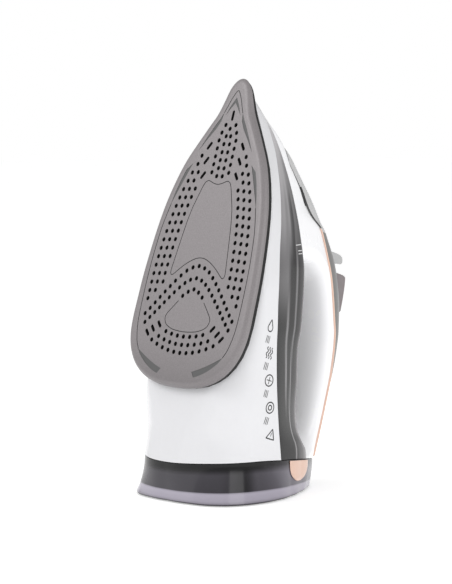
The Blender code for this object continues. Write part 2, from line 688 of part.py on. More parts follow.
lug_foot = box((LID_HINGE[0] - 0.9, -2.9, 38), (LID_HINGE[0] + 0.9, 2.9, LID_HINGE[1] - 0.1))
place("upper_housing", solid(housing_solid(), cuts=arch_cuts, adds=[lug, lug_foot]), WHITE)


# ---------------------------------------------------------------- covers over the housing
def cap_section(u, inset=0.0, drop=0.0, steps=9):
    """Half-elliptic ring over the trim line at station u."""
    half = max(float(trim_v(u)) - inset, 0.6)
    low = float(trim_w(u)) + GAP
    rise = max(float(crest_w(u)) - low - inset, 0.5)
    points = [(u, -half, low - drop)] if drop else []
    for k in range(steps + 1):
        a = math.pi * k / steps
        points.append((u, -half * math.cos(a), low + rise * math.sin(a)))
    if drop:
        points.append((u, half, low - drop))
    return points


COVER_FRONT = 136.6
COVER_STATIONS = (-70, -45, -20, 0, 20, 40, 60, 75, 86, 95, 105, 113, 120, 128, 133, COVER_FRONT)
cover_outer = loft([cap_section(u) for u in COVER_STATIONS])
cover_inner = loft([cap_section(u, 1.9, 6.0) for u in COVER_STATIONS])
LEVER_U = 126.5


def lean_at(u):
    """Slope of the crest line at u, as an angle from +u."""
    return math.atan2(float(crest_w(u + 4)) - float(crest_w(u - 4)), 8.0)


SLIDE_DIR = Vector((math.cos(lean_at(LEVER_U)), 0, math.sin(lean_at(LEVER_U))))
CREST_N = Vector((-SLIDE_DIR.z, 0, SLIDE_DIR.x))
LEVER_AT = Vector((LEVER_U, 0, float(crest_w(LEVER_U))))


def slanted_box(centre, run, rise, low, high, length, half):
    """A box about centre: length along run, from low to high along rise, half width in v."""
    rings = []
    for h in (low, high):
        ring = []
        for a, b in ((-1, -1), (1, -1), (1, 1), (-1, 1)):
            p = centre + run * (a * length / 2) + Vector((0, b * half, 0)) + rise * h
            ring.append(tuple(p))
        rings.append(ring)
    return loft(rings)


LEVER_HALF = 3.0
SLOT_LENGTH = 12.0 + LEVER_SLIDE + 2 * GAP
lever_slot = slanted_box(LEVER_AT + SLIDE_DIR * 0.8, SLIDE_DIR, CREST_N, -8, 8, SLOT_LENGTH, LEVER_HALF + GAP)
BUTTON_FROM, BUTTON_TO, BUTTON_HALF = 87.6, 115.0, 10.6
button_frame = [(BUTTON_FROM - GAP, 100), (BUTTON_TO + GAP, 100), (BUTTON_TO + GAP, 160), (BUTTON_FROM - GAP, 160)]
button_hole = prism(button_frame, -BUTTON_HALF - GAP, BUTTON_HALF + GAP, "v")
GLAND = Vector((-4.0, 0, 132.0))
GLAND_DIR = Vector((-0.45, 0, 0.89)).normalized()
gland_hole = turned([(0, -14), (7.6, -14), (7.6, 14), (0, 14)], GLAND, GLAND_DIR, 18)
lens_hole = prism(circle(56, 0, 3.4, 14), 130, 160)
cover_cuts = [cover_inner, below_seam(-GAP / 2), lever_slot, button_hole, gland_hole, lens_hole]
place("handle_cover", solid(cover_outer, cuts=cover_cuts), GREY)

LID_STATIONS = (COVER_FRONT + GAP, 141, 146, 152, 160, 168, 176, 183, 187, 190)
lid_outer = loft([cap_section(u) for u in LID_STATIONS])
lid_inner = loft([cap_section(u, 1.9, 6.0) for u in (COVER_FRONT - 2, 141, 146, 152, 160, 168, 176, 181)])
lid_notch = box((176, -3.4, 34), (200, 3.4, 46.0))
hinge_bore = turned([(0, -30), (1.0, -30), (1.0, 30), (0, 30)], (LID_HINGE[0], 0, LID_HINGE[1]), (0, 1, 0), 10)
place("nose_lid", solid(lid_outer, cuts=[lid_inner, lid_notch, hinge_bore]), PALE, pivot=(LID_HINGE[0], 0, LID_HINGE[1]))
pin = turned([(0, -8), (0.65, -8), (0.65, 8), (0, 8)], (LID_HINGE[0], 0, LID_HINGE[1]), (0, 1, 0), 8)
place("lid_hinge_pin", solid(pin), STEEL)

# ---------------------------------------------------------------- water path
funnel = turned([(0, 33), (5.6, 33), (5.6, 47.5), (9, 47.5), (9, 49.2), (6.4, 52), (0, 52)], (160, 0, 0), (0, 0, 1), 18)
funnel_bore = prism(circle(160, 0, 4.4, 14), 20, 70)
place("filler_funnel", solid(funnel, cuts=[funnel_bore]), PALE)
place("spray_nozzle", solid(turned([(0, 36), (2.6, 36), (2.6, 46.2), (1.6, 47.2), (0, 47.2)], NOZZLE_FROM, NOZZLE_DIR, 12)), BLACK)
rod = turned([(0, 26.0), (0.7, 26.4), (1.4, 28.3), (1.4, 100), (3.2, 100), (3.2, 101.5), (0, 101.5)],
             (VALVE_U, 0, 0), (0, 0, 1), 10)
place("valve_rod", solid(rod), STEEL, pivot=(VALVE_U, 0, 26.0))
seat_bore = turned([(0, 10), (1.1, 10), (1.1, 26.2), (2.2, 27.6), (2.2, 34), (0, 34)], (VALVE_U, 0, 0), (0, 0, 1), 10)
seat = turned([(0, 16), (3.2, 16), (3.2, 29), (0, 29)], (VALVE_U, 0, 0), (0, 0, 1), 12)
place("valve_seat", solid(seat, cuts=[seat_bore]), BRASS)


def coil(centre_u, centre_v, low, high, radius, turns, wire=0.5):
    path = []
    for k in range(turns * 9 + 1):
        a = 2 * math.pi * k / 9
        path.append((centre_u + radius * math.cos(a), centre_v + radius * math.sin(a), low + (high - low) * k / (turns * 9)))
    return tube_path(path, wire, 5)


place("valve_spring", solid(coil(VALVE_U, 0, 72, 94, 2.9, 5)), STEEL)

# ---------------------------------------------------------------- steam lever
fin = [(122.9, 112.7), (130.1, 105.9), (130.2, 129.5), (129.3, 133.6), (127.0, 136.0), (124.6, 136.2), (123.2, 134.6),
       (122.9, 131.0)]
lever_fin = prism(fin, -LEVER_HALF, LEVER_HALF, "v")
carriage = slanted_box(LEVER_AT + SLIDE_DIR * 1.0, SLIDE_DIR, CREST_N, -7.0, -4.3, 9, 5.4)
place("steam_lever", solid(lever_fin, adds=[carriage]), PALE, pivot=LEVER_AT)

# ---------------------------------------------------------------- buttons, pumps, pistons
button_side = [(87.6, 121), (114.4, 116), (115.0, 118), (115.0, 131.5), (114.3, 134.4), (112.6, 136.0), (105, 137.2),
               (96, 137.9), (88.6, 138.2), (87.6, 137.4)]
PUMP_U, PUMP_V = 101.0, 5.9
for name, side in (("spray", 1), ("burst", -1)):
    near, far = sorted((side * 0.3, side * BUTTON_HALF))
    place(f"{name}_button", solid(prism(button_side, near, far, "v")), GREY, pivot=(PUMP_U, side * PUMP_V, 137))
    at = (PUMP_U, side * PUMP_V, 0)
    body = turned([(0, 100.4), (5.0, 100.4), (5.0, 108.5), (0, 108.5)], at, (0, 0, 1), 14)
    bore = turned([(0, 101.6), (2.5, 101.6), (2.5, 120), (0, 120)], at, (0, 0, 1), 12)
    place(f"{name}_pump", solid(body, cuts=[bore]), DARK)
    piston = turned([(0, 105.2), (2.0, 105.2), (2.0, 117.7), (0, 117.7)], at, (0, 0, 1), 12)
    place(f"{name}_piston", solid(piston), STEEL, pivot=(PUMP_U, side * PUMP_V, 105.2))
    place(f"{name}_spring", solid(coil(PUMP_U, side * PUMP_V, 109.4, 113.7, 3.3, 3)), STEEL)

spray_line = [(108.4, 6.4, 103), (112, 7, 99), (118, 8, 91), (127, 9.5, 80), (140, 11.5, 68), (150, 12, 61),
              (158, 12.5, 56), (165, 11.6, 53), (168.8, 7.6, 51.2), (170.7, 2.6, 49), (173, 0.2, 46.5), (178, 0, 43.7),
              (188.4, 0, 38.4)]
place("spray_hose", solid(tube_path(spray_line, 1.5, 6)), SILICONE)
pickup_line = [(110, -9, 50), (110, -9, 84), (109.5, -8, 93), (108.3, -7, 100), (108.2, -6.6, 103)]
place("pickup_hose", solid(tube_path(pickup_line, 1.5, 6)), SILICONE)

# ---------------------------------------------------------------- temperature dial
dial = turned([(0, 73.9), (14, 73.9), (16.4, 74.6), (16.4, 78.0), (15.4, 79.2), (0, 79.5)], (DIAL_U, 0, 0), (0, 0, 1), 28)
dial_mark = prism([(DIAL_U + 9, -0.7), (DIAL_U + 20, -0.7), (DIAL_U + 20, 0.7), (DIAL_U + 9, 0.7)], 78.8, 84)
shaft_socket = prism(circle(DIAL_U, 0, 2.9, 12), 60, 77)
place("temperature_dial", solid(dial, cuts=[dial_mark, shaft_socket]), DARK, pivot=(DIAL_U, 0, 79.5))
shaft = turned([(0, 21), (2.6, 21), (2.6, 76.6), (0, 76.6)], (DIAL_U, 0, 0), (0, 0, 1), 12)
place("dial_shaft", solid(shaft), STEEL, pivot=(DIAL_U, 0, 21))

# ---------------------------------------------------------------- lamp, cord gland, electrics
lens = turned([(0, 137.2), (3.1, 137.2), (3.1, 141.3), (2.2, 142.0), (0, 142.2)], (56, 0, 0), (0, 0, 1), 14)
place("pilot_lens", solid(lens), AMBER)
lamp = turned([(0, 127), (2.4, 127), (2.4, 134), (1.2, 136.4), (0, 136.8)], (56, 0, 0), (0, 0, 1), 12)
place("pilot_lamp", solid(lamp), STEEL)
ball = [(7.2 * math.sin(math.pi * k / 8), -7.2 * math.cos(math.pi * k / 8)) for k in range(7)]
ball = ball + [(5.2, 5.4), (4.6, 13.0), (0, 13.0)]
gland_bore = turned([(0, -20), (3.2, -20), (3.2, 20), (0, 20)], GLAND, GLAND_DIR, 14)
place("cord_ball", solid(turned(ball, GLAND, GLAND_DIR, 18), cuts=[gland_bore]), DARK, pivot=GLAND)
place("cord_clamp", solid(box((-9, -9, 119.3), (-3, 9, 121.6))), STEEL)
place("terminal_block", solid(box((-30, -14, 30), (-14, 14, 44)),
                              cuts=[prism(circle(-22, v, 2.2, 10), 34, 60) for v in (-8, 0, 8)]), WHITE)


# ---------------------------------------------------------------- heel piece
def iron_point(x, y, z):
    """From the standing frame (y from the soleplate's heel) to the iron's frame."""
    return (y * SIN + (z - SOLE_HEEL_Z) * COS, x, y * COS - (z - SOLE_HEEL_Z) * SIN)


HEEL_CENTRE_Y = 60.0
HEEL_BOTTOM = 0.6
foot_plan = ((0, -5.6), (20, -4.8), (36, -1.2), (47, 7.0), (53.2, 19), (55.2, 33), (53.4, 52), (47.4, 71), (39, 88), (30, 103),
             (18, 118), (9, 126), (0, 129))


def body_at_seam():
    """Half outline of the body along the heel seam: (x, y, z) from the front round to the rear."""
    found = []
    for w in [BELLY_W, 9.2, 10.5, 13, 17, 23, 30, 38, 48, 60, 72, 84, 96, 104, 110, 116, 122, 127, 130.2, 132, 133.2]:
        z, x = 30.0, 20.0
        for _ in range(8):
            u = (z - SOLE_HEEL_Z + w * SIN) / COS
            x = float(side_v(u, w))
            y = u * SIN + w * COS
            z = float(seam_z(y, x))
        found.append((x, y, z))
    front = (0.0, found[0][1], float(seam_z(found[0][1], 0)))
    rear = (0.0, found[-1][1] + 1.2, found[-1][2])
    return [front, *found, rear]


seam_line = body_at_seam()


def polar(points):
    """Interpolators of radius, and height if given, over the angle about the heel's centre."""
    angles = [math.atan2(p[1] - HEEL_CENTRE_Y, p[0]) for p in points]
    radii = [math.hypot(p[0], p[1] - HEEL_CENTRE_Y) for p in points]
    order = np.argsort(angles)
    a = np.array(angles)[order]
    r = np.array(radii)[order]
    if len(points[0]) == 2:
        return lambda t: float(np.interp(t, a, r))
    z = np.array([p[2] for p in points])[order]
    return lambda t: (float(np.interp(t, a, r)), float(np.interp(t, a, z)))


foot_radius = polar(foot_plan)
seam_radius = polar(seam_line)


def heel_point(angle, k, inset=0.0, low=HEEL_BOTTOM, extra=0.0):
    """A point of the heel's wall: k from 0 at the foot to 1 at the seam."""
    half = math.asin(math.sin(angle))
    side = 1 if math.cos(angle) >= -1e-9 else -1
    top, z_top = seam_radius(half)
    foot = foot_radius(half)
    z = low + (z_top - 0.35 + extra - low) * k
    rise = min(max((z - HEEL_BOTTOM) / (z_top - 0.35 - HEEL_BOTTOM), 0.0), 1.0)
    r = foot + (top - foot) * (1 - (1 - rise) ** 1.7) - inset
    if inset == 0 and k < 0.02:
        r -= 1.0
    return iron_point(side * r * math.cos(half), HEEL_CENTRE_Y + r * math.sin(half), z)


def heel_ring(k, inset=0.0, low=HEEL_BOTTOM, extra=0.0, count=44):
    return [heel_point(-math.pi / 2 + 2 * math.pi * j / count, k, inset, low, extra) for j in range(count)]


def upright(outline, low, high):
    """A prism standing on the heel: (x, y) points with y from the soleplate's heel."""
    return loft([[iron_point(x, y, z) for x, y in outline] for z in (low, high)])


heel_outer = loft([heel_ring(k) for k in (0, 0.05, 0.25, 0.5, 0.75, 1)])
heel_inner = loft([heel_ring(k, 2.6, HEEL_BOTTOM + 3.4, 6.0) for k in (0, 0.25, 0.5, 0.75, 1)])
PAD_PLACES = ((-32, 24), (32, 24), (-20, 104), (20, 104))
SCREW_PLACES = ((0, 22), (0, 100))
heel_cuts = [heel_inner]
heel_cuts += [upright(circle(x, y, 6.4, 16), -2, 2.2) for x, y in PAD_PLACES]
heel_cuts += [upright(circle(x, y, 3.8, 12), -2, 2.6) for x, y in SCREW_PLACES]
heel_cuts += [upright(circle(x, y, 2.0, 12), -2, 8) for x, y in SCREW_PLACES]
place("heel_base", solid(heel_outer, cuts=heel_cuts), SMOKE)
liner_outer = loft([heel_ring(k, 3.4, 7.0, -2.0) for k in (0, 0.33, 0.66, 1)])
liner_inner = loft([heel_ring(k, 5.2, 1.0, 4.0) for k in (0, 0.33, 0.66, 1)])
place("heel_liner", solid(liner_outer, cuts=[liner_inner]), DARK)
for number, (x, y) in enumerate(PAD_PLACES, 1):
    place(f"heel_pad_{number}", solid(upright(circle(x, y, 6.0, 16), 0, 1.9)), RUBBER)
for number, (x, y) in enumerate(SCREW_PLACES, 1):
    head = upright(circle(x, y, 3.4, 12), 0.8, 2.3)
    shank = upright(circle(x, y, 1.6, 10), 2.0, 12)
    place(f"heel_screw_{number}", solid(head, adds=[shank]), STEEL)

# ---------------------------------------------------------------- copper trim and heel tongues
TRIM_STATIONS = (-21.5, -12, 0, 15, 30, 42, 53, 63, 71, 78, 85, 91, 100, 108, 116, 123, 131, 135, 137, 138.6)
for name, side in (("right", 1), ("left", -1)):
    rings = []
    for u in TRIM_STATIONS:
        v, w = float(trim_v(u)), float(trim_w(u))
        ring = [(v + 1.2, w - 0.6), (v + 1.8, w - 0.5), (v + 1.55, w + 0.8), (v + 0.5, w + 0.9)]
        rings.append([(u, side * a, b) for a, b in ring])
    place(f"copper_trim_{name}", solid(loft(rings)), COPPER)
    outer, inner = [], []
    for t in (0.02, 0.1, 0.25, 0.45, 0.7, 1.0):
        k = 0.36 + 0.62 * t
        for j in range(6):
            left, right = math.radians(27 - 16 * t**0.38), math.radians(27 + 16 * t**0.38)
            a = left + (right - left) * j / 5
            a = a if side > 0 else math.pi - a
            outer.append(heel_point(a, k, -1.3))
            inner.append(heel_point(a, k, -0.35))
    faces = []
    for i in range(5):
        for j in range(5):
            a = i * 6 + j
            faces.append((a, a + 1, a + 7, a + 6))
            faces.append((a + 36, a + 42, a + 43, a + 37))
    for j in range(5):
        faces.append((j, j + 36, j + 37, j + 1))
        faces.append((30 + j, 31 + j, 67 + j, 66 + j))
    for i in range(5):
        faces.append((i * 6, i * 6 + 6, i * 6 + 42, i * 6 + 36))
        faces.append((i * 6 + 5, i * 6 + 41, i * 6 + 47, i * 6 + 11))
    place(f"heel_tongue_{name}", solid((outer + inner, faces)), COPPER)
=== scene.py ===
"""Looks of the steam iron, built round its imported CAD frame.

Shapes are drawn in the iron's own frame, in millimetres: u runs from the soleplate's heel to its
tip, v across, w up from the ironing face. at() turns that frame to the standing iron, in metres.
"""

import math

import bmesh
import bpy
import numpy as np
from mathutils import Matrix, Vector, geometry


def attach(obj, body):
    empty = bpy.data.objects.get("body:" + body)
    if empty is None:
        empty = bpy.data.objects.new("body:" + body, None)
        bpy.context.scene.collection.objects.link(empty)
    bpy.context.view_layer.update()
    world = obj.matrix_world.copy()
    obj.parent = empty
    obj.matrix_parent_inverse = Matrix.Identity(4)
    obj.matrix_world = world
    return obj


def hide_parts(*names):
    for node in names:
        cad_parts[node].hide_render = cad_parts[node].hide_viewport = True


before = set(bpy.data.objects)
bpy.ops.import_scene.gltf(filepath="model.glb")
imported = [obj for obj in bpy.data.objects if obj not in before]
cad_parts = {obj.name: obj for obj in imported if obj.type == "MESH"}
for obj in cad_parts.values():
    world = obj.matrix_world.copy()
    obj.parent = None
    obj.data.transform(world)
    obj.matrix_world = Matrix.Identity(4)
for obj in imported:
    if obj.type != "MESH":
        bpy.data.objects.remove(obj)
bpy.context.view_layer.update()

# ---------------------------------------------------------------- dimensions, mm and degrees
LEAN = math.radians(17.2)
SOLE_LENGTH = 226.0
SOLE_HALF_WIDTH = 60.2
SOLE_HEEL_Z = 81.0
DEPTH_CENTRE = 80.214
CASTING_INSET = 14.0
GAP = 0.3
HOLE_RADIUS = 1.35
SLOT_WIDTH = 2.4
HANDLE_ROUND = 16.0
LID_HINGE = (188.6, 44.0)
LEVER_SLIDE = 8.0
VALVE_U = 127.0
DIAL_U = 62.0
COS = math.cos(LEAN)
SIN = math.sin(LEAN)


def at(point):
    """World position in metres of a point (u, v, w) in mm."""
    u, v, w = point
    return Vector((v, u * SIN + w * COS - DEPTH_CENTRE, u * COS - w * SIN + SOLE_HEEL_Z)) * 0.001


# ---------------------------------------------------------------- camera, floor and light
scene = bpy.context.scene
scene.view_settings.view_transform = "Standard"
camera_data = bpy.data.cameras.new("camera")
camera_data.lens = 157.07
camera_data.sensor_width = 36.0
camera = bpy.data.objects.new("camera", camera_data)
camera.location = (1.3257, -1.264714, 0.2940)
camera.rotation_euler = (math.radians(85.287), 0, math.radians(47))
scene.collection.objects.link(camera)
scene.camera = camera


def node_links(tree):
    return tree.nodes, tree.links


AMBIENT = 0.57
world = bpy.data.worlds.new("studio")
world.use_nodes = True
scene.world = world
w_nodes, w_links = node_links(world.node_tree)
w_nodes["Background"].inputs["Color"].default_value = (1, 1, 1, 1)
seen = w_nodes.new("ShaderNodeLightPath")
level = w_nodes.new("ShaderNodeMapRange")
level.inputs["To Min"].default_value = AMBIENT
level.inputs["To Max"].default_value = 1.0
w_links.new(seen.outputs["Is Camera Ray"], level.inputs["Value"])
w_links.new(level.outputs["Result"], w_nodes["Background"].inputs["Strength"])

floor_mesh = bpy.data.meshes.new("floor")
floor_mesh.from_pydata([(-6, -6, 0), (6, -6, 0), (6, 6, 0), (-6, 6, 0)], [], [(0, 1, 2, 3)])
floor = bpy.data.objects.new("floor", floor_mesh)
floor.location.z = -0.0002
scene.collection.objects.link(floor)


def area_light(name, place, aim, size, power, colour=(1, 1, 1)):
    data = bpy.data.lights.new(name, "AREA")
    data.shape = "RECTANGLE"
    data.size, data.size_y = size
    data.energy = power
    data.color = colour
    lamp = bpy.data.objects.new(name, data)
    lamp.location = place
    lamp.rotation_euler = (Vector(aim) - Vector(place)).to_track_quat("-Z", "Y").to_euler()
    scene.collection.objects.link(lamp)
    return lamp


area_light("key", (-0.5, -0.8, 0.85), (0, 0, 0.26), (0.6, 0.6), 4.2)
area_light("fill", (1.8, -0.1, 0.9), (0, 0, 0.15), (1.0, 1.4), 8.5)


# ---------------------------------------------------------------- materials
def principled(name):
    made = bpy.data.materials.new(name)
    made.use_nodes = True
    return made, made.node_tree.nodes, made.node_tree.links, made.node_tree.nodes["Principled BSDF"]


def mm_coordinates(nodes, links, scale=1000.0):
    """Object coordinates in millimetres."""
    source = nodes.new("ShaderNodeTexCoord")
    mapping = nodes.new("ShaderNodeMapping")
    mapping.inputs["Scale"].default_value = (scale, scale, scale)
    links.new(source.outputs["Object"], mapping.inputs["Vector"])
    return mapping.outputs["Vector"]


def noise(nodes, links, vector, scale, detail=3.0, rough=0.6):
    made = nodes.new("ShaderNodeTexNoise")
    made.inputs["Scale"].default_value = scale
    made.inputs["Detail"].default_value = detail
    made.inputs["Roughness"].default_value = rough
    links.new(vector, made.inputs["Vector"])
    return made.outputs["Fac"]


def ramp(nodes, links, factor, stops):
    made = nodes.new("ShaderNodeValToRGB")
    while len(made.color_ramp.elements) < len(stops):
        made.color_ramp.elements.new(0.5)
    for element, (position, colour) in zip(made.color_ramp.elements, stops):
        element.position = position
        element.color = (*colour, 1) if len(colour) == 3 else colour
    links.new(factor, made.inputs["Fac"])
    return made.outputs["Color"]


def grey(value, warm=0.0):
    """A linear grey from an sRGB value of 0 to 255; warm tips it towards red."""
    c = value / 255
    c = c / 12.92 if c <= 0.04045 else ((c + 0.055) / 1.055) ** 2.4
    return (c * (1 + warm), c, c * (1 - warm))


def plastic(name, colour, rough=0.3, coat=0.0, metal=0.0, speckle=0.0, grain=0.25, bump=0.0, bump_scale=0.8,
            clear=0.0, rough_spread=0.06, coat_rough=0.05):
    """A moulded or coated surface: speckled colour, uneven roughness and a fine bump, all procedural."""
    made, nodes, links, shader = principled(name)
    where = mm_coordinates(nodes, links)
    fine = noise(nodes, links, where, grain)
    low = tuple(c * (1 - speckle) for c in colour)
    high = tuple(min(c * (1 + speckle), 1) for c in colour)
    links.new(ramp(nodes, links, fine, ((0.3, low), (0.7, high))), shader.inputs["Base Color"])
    broad = noise(nodes, links, where, 0.06, 2.0)
    spread = nodes.new("ShaderNodeMapRange")
    spread.inputs["To Min"].default_value = max(rough - rough_spread, 0.02)
    spread.inputs["To Max"].default_value = rough + rough_spread
    links.new(broad, spread.inputs["Value"])
    links.new(spread.outputs["Result"], shader.inputs["Roughness"])
    shader.inputs["Metallic"].default_value = metal
    shader.inputs["Coat Weight"].default_value = coat
    shader.inputs["Coat Roughness"].default_value = coat_rough
    shader.inputs["Transmission Weight"].default_value = clear
    if bump:
        lump = nodes.new("ShaderNodeBump")
        lump.inputs["Strength"].default_value = bump
        lump.inputs["Distance"].default_value = 0.0001
        links.new(noise(nodes, links, where, bump_scale, 2.0), lump.inputs["Height"])
        links.new(lump.outputs["Normal"], shader.inputs["Normal"])
    return made


paper = plastic("floor paper", (0.93, 0.93, 0.93), 0.9, speckle=0.003, grain=0.02)
paper.node_tree.nodes["Principled BSDF"].inputs["Emission Color"].default_value = (1, 1, 1, 1)
paper.node_tree.nodes["Principled BSDF"].inputs["Emission Strength"].default_value = 0.47
floor_mesh.materials.append(paper)
COATING_AND_PAINTED_LIGHT = plastic("sole coating", (0.252, 0.233, 0.239), 0.42, metal=0.15, speckle=0.10, grain=1.1, bump=0.25,
                  bump_scale=1.6)


# Heights in mm over which the soleplate's painted light runs from heel to tip.
PAINTED_LIGHT_LOW, PAINTED_LIGHT_HIGH = -105.0, 112.0


def paint_light_heel_to_tip(made, stops):
    """Multiplies the soleplate's colour by painted light and shade, darkest at its heel, share 0, and lightest at its
    tip, share 1.
    """
    nodes, links, shader = made.node_tree.nodes, made.node_tree.links, made.node_tree.nodes["Principled BSDF"]
    split = nodes.new("ShaderNodeSeparateXYZ")
    links.new(mm_coordinates(nodes, links), split.inputs["Vector"])
    share = nodes.new("ShaderNodeMapRange")
    share.inputs["From Min"].default_value = PAINTED_LIGHT_LOW
    share.inputs["From Max"].default_value = PAINTED_LIGHT_HIGH
    links.new(split.outputs["Z"], share.inputs["Value"])
    painted_light = ramp(nodes, links, share.outputs["Result"], [(s, (t, t, t)) for s, t in stops])
    mix = nodes.new("ShaderNodeMix")
    mix.data_type = "RGBA"
    mix.blend_type = "MULTIPLY"
    mix.inputs["Factor"].default_value = 1.0
    links.new(shader.inputs["Base Color"].links[0].from_socket, mix.inputs["A"])
    links.new(painted_light, mix.inputs["B"])
    links.new(mix.outputs["Result"], shader.inputs["Base Color"])
    return made


# The soleplate is painted darker at its heel and lighter towards its tip: painted light and shade, not the coating's
# own colour.
paint_light_heel_to_tip(COATING_AND_PAINTED_LIGHT, ((0.0, 0.33), (0.2, 0.40), (0.5, 0.47), (0.8, 0.74), (1.0, 1.04)))
GROOVE = plastic("sole groove", grey(52, -0.01), 0.6, speckle=0.05)
INLAY = plastic("sole inlay", grey(88, 0.0), 0.5, speckle=0.05, grain=1.2)
# Near-black walls and floors in the steam holes: painted shade.
HOLE_PAINTED_SHADE = plastic("sole hole painted shade", grey(8), 0.9, speckle=0.2)
WHITE = plastic("white plastic", (0.79, 0.79, 0.81), 0.24, coat=0.3, speckle=0.006, bump=0.03, bump_scale=0.35)
# A brighter copy of the white plastic that also glows a little: painted light on the upper housing's shaded sides, the
# same plastic as the lower body.
SHELL_WITH_PAINTED_LIGHT = plastic("white shell plastic with painted light", (0.93, 0.93, 0.95), 0.26, coat=0.3, speckle=0.006, bump=0.03, bump_scale=0.35)
SHELL_WITH_PAINTED_LIGHT.node_tree.nodes["Principled BSDF"].inputs["Emission Color"].default_value = (1, 1, 1, 1)
SHELL_WITH_PAINTED_LIGHT.node_tree.nodes["Principled BSDF"].inputs["Emission Strength"].default_value = 0.1
COVER = plastic("taupe grey plastic", grey(120, 0.02), 0.32, coat=0.2, speckle=0.02, bump=0.05)
BUTTON = plastic("taupe button plastic", (0.24, 0.21, 0.215), 0.3, coat=0.2, speckle=0.02, bump=0.04)
LID = plastic("pale translucent plastic", grey(212, 0.0), 0.16, coat=0.6, speckle=0.015, clear=0.12)
DARK = plastic("dark plastic", grey(40), 0.35, coat=0.1, speckle=0.05, bump=0.06)
BLACK = plastic("black plastic", grey(12), 0.55, speckle=0.1, bump=0.05)
COPPER = plastic("copper lacquer", (0.80, 0.55, 0.44), 0.3, coat=0.3, metal=0.1, speckle=0.02)
STEEL = plastic("brushed steel", (0.55, 0.55, 0.56), 0.32, metal=1.0, speckle=0.06, grain=0.9, bump=0.08)
BRASS = plastic("turned brass", (0.68, 0.5, 0.24), 0.32, metal=1.0, speckle=0.06)
ALLOY = plastic("cast aluminium", (0.56, 0.56, 0.58), 0.5, metal=0.9, speckle=0.08, grain=0.6, bump=0.35)
RUBBER = plastic("rubber", grey(34), 0.75, speckle=0.12, bump=0.2)
SILICONE = plastic("silicone hose", grey(205), 0.45, speckle=0.02)
AMBER = plastic("amber lens", (0.86, 0.36, 0.06), 0.1, coat=0.8, speckle=0.03, clear=0.5)
GLOSS = plastic("glossy dark trim", grey(28), 0.1, coat=0.9, speckle=0.05)
FIN = plastic("pale lever plastic", grey(192), 0.25, coat=0.4, speckle=0.01, clear=0.05)
PRINT = plastic("printed mark", grey(30), 0.5, speckle=0.05)
MARK = plastic("pale printed mark", grey(225), 0.4, speckle=0.01)


def banded(name, across, rough=0.16, coat=0.07, tint=(1.02, 0.99, 1.02)):
    """Smoked plastic coloured in bands: the depth seen through it, together with painted highlights and painted
    reflections.
    across is a list of (t, stops), t along the piece and stops over the band's width, both as UV shares."""
    made, nodes, links, shader = principled(name)
    uv = nodes.new("ShaderNodeTexCoord")
    split = nodes.new("ShaderNodeSeparateXYZ")
    links.new(uv.outputs["UV"], split.inputs["Vector"])
    colour = None
    last = None
    for t, stops in across:
        tinted = [(s, tuple(c * share for c, share in zip(grey(g), tint))) for s, g in stops]
        here = ramp(nodes, links, split.outputs["X"], tinted)
        if colour is None:
            colour, last = here, t
            continue
        blend = nodes.new("ShaderNodeMapRange")
        blend.interpolation_type = "SMOOTHSTEP"
        blend.inputs["From Min"].default_value = last
        blend.inputs["From Max"].default_value = t
        links.new(split.outputs["Y"], blend.inputs["Value"])
        mix = nodes.new("ShaderNodeMix")
        mix.data_type = "RGBA"
        links.new(blend.outputs["Result"], mix.inputs["Factor"])
        links.new(colour, mix.inputs["A"])
        links.new(here, mix.inputs["B"])
        colour, last = mix.outputs["Result"], t
    links.new(colour, shader.inputs["Base Color"])
    where = mm_coordinates(nodes, links)
    spread = nodes.new("ShaderNodeMapRange")
    spread.inputs["To Min"].default_value = rough - 0.04
    spread.inputs["To Max"].default_value = rough + 0.04
    links.new(noise(nodes, links, where, 0.05, 2.0), spread.inputs["Value"])
    links.new(spread.outputs["Result"], shader.inputs["Roughness"])
    shader.inputs["Coat Weight"].default_value = coat
    shader.inputs["Coat Roughness"].default_value = 0.04
    shader.inputs["Specular IOR Level"].default_value = 0.3
    return made


FOOT_STRIP = ((0.0, 40), (0.03, 60), (0.05, 138), (0.10, 160), (0.26, 168), (0.295, 140))
HEEL_SMOKE_AND_REFLECTION = banded("smoked heel plastic and painted reflection", [(t, (*FOOT_STRIP, *wall)) for t, wall in (
    (0.0, ((0.31, 66), (0.72, 64), (0.84, 24), (0.9, 10), (1.0, 10))),
    (0.20, ((0.31, 58), (0.72, 64), (0.84, 24), (0.9, 10), (1.0, 10))),
    # At share 0.30, the rounded front corner, the wall is darker: a painted dark reflection.
    (0.30, ((0.31, 28), (0.72, 36), (0.84, 14), (0.9, 8), (1.0, 8))),
    (0.36, ((0.31, 70), (0.72, 76), (0.84, 30), (0.9, 12), (1.0, 12))),
    (0.60, ((0.31, 108), (0.72, 118), (0.84, 90), (0.9, 60), (1.0, 44))),
    (1.0, ((0.31, 92), (0.72, 100), (0.84, 64), (0.9, 36), (1.0, 30))),
)], tint=(1.05, 0.98, 1.16))


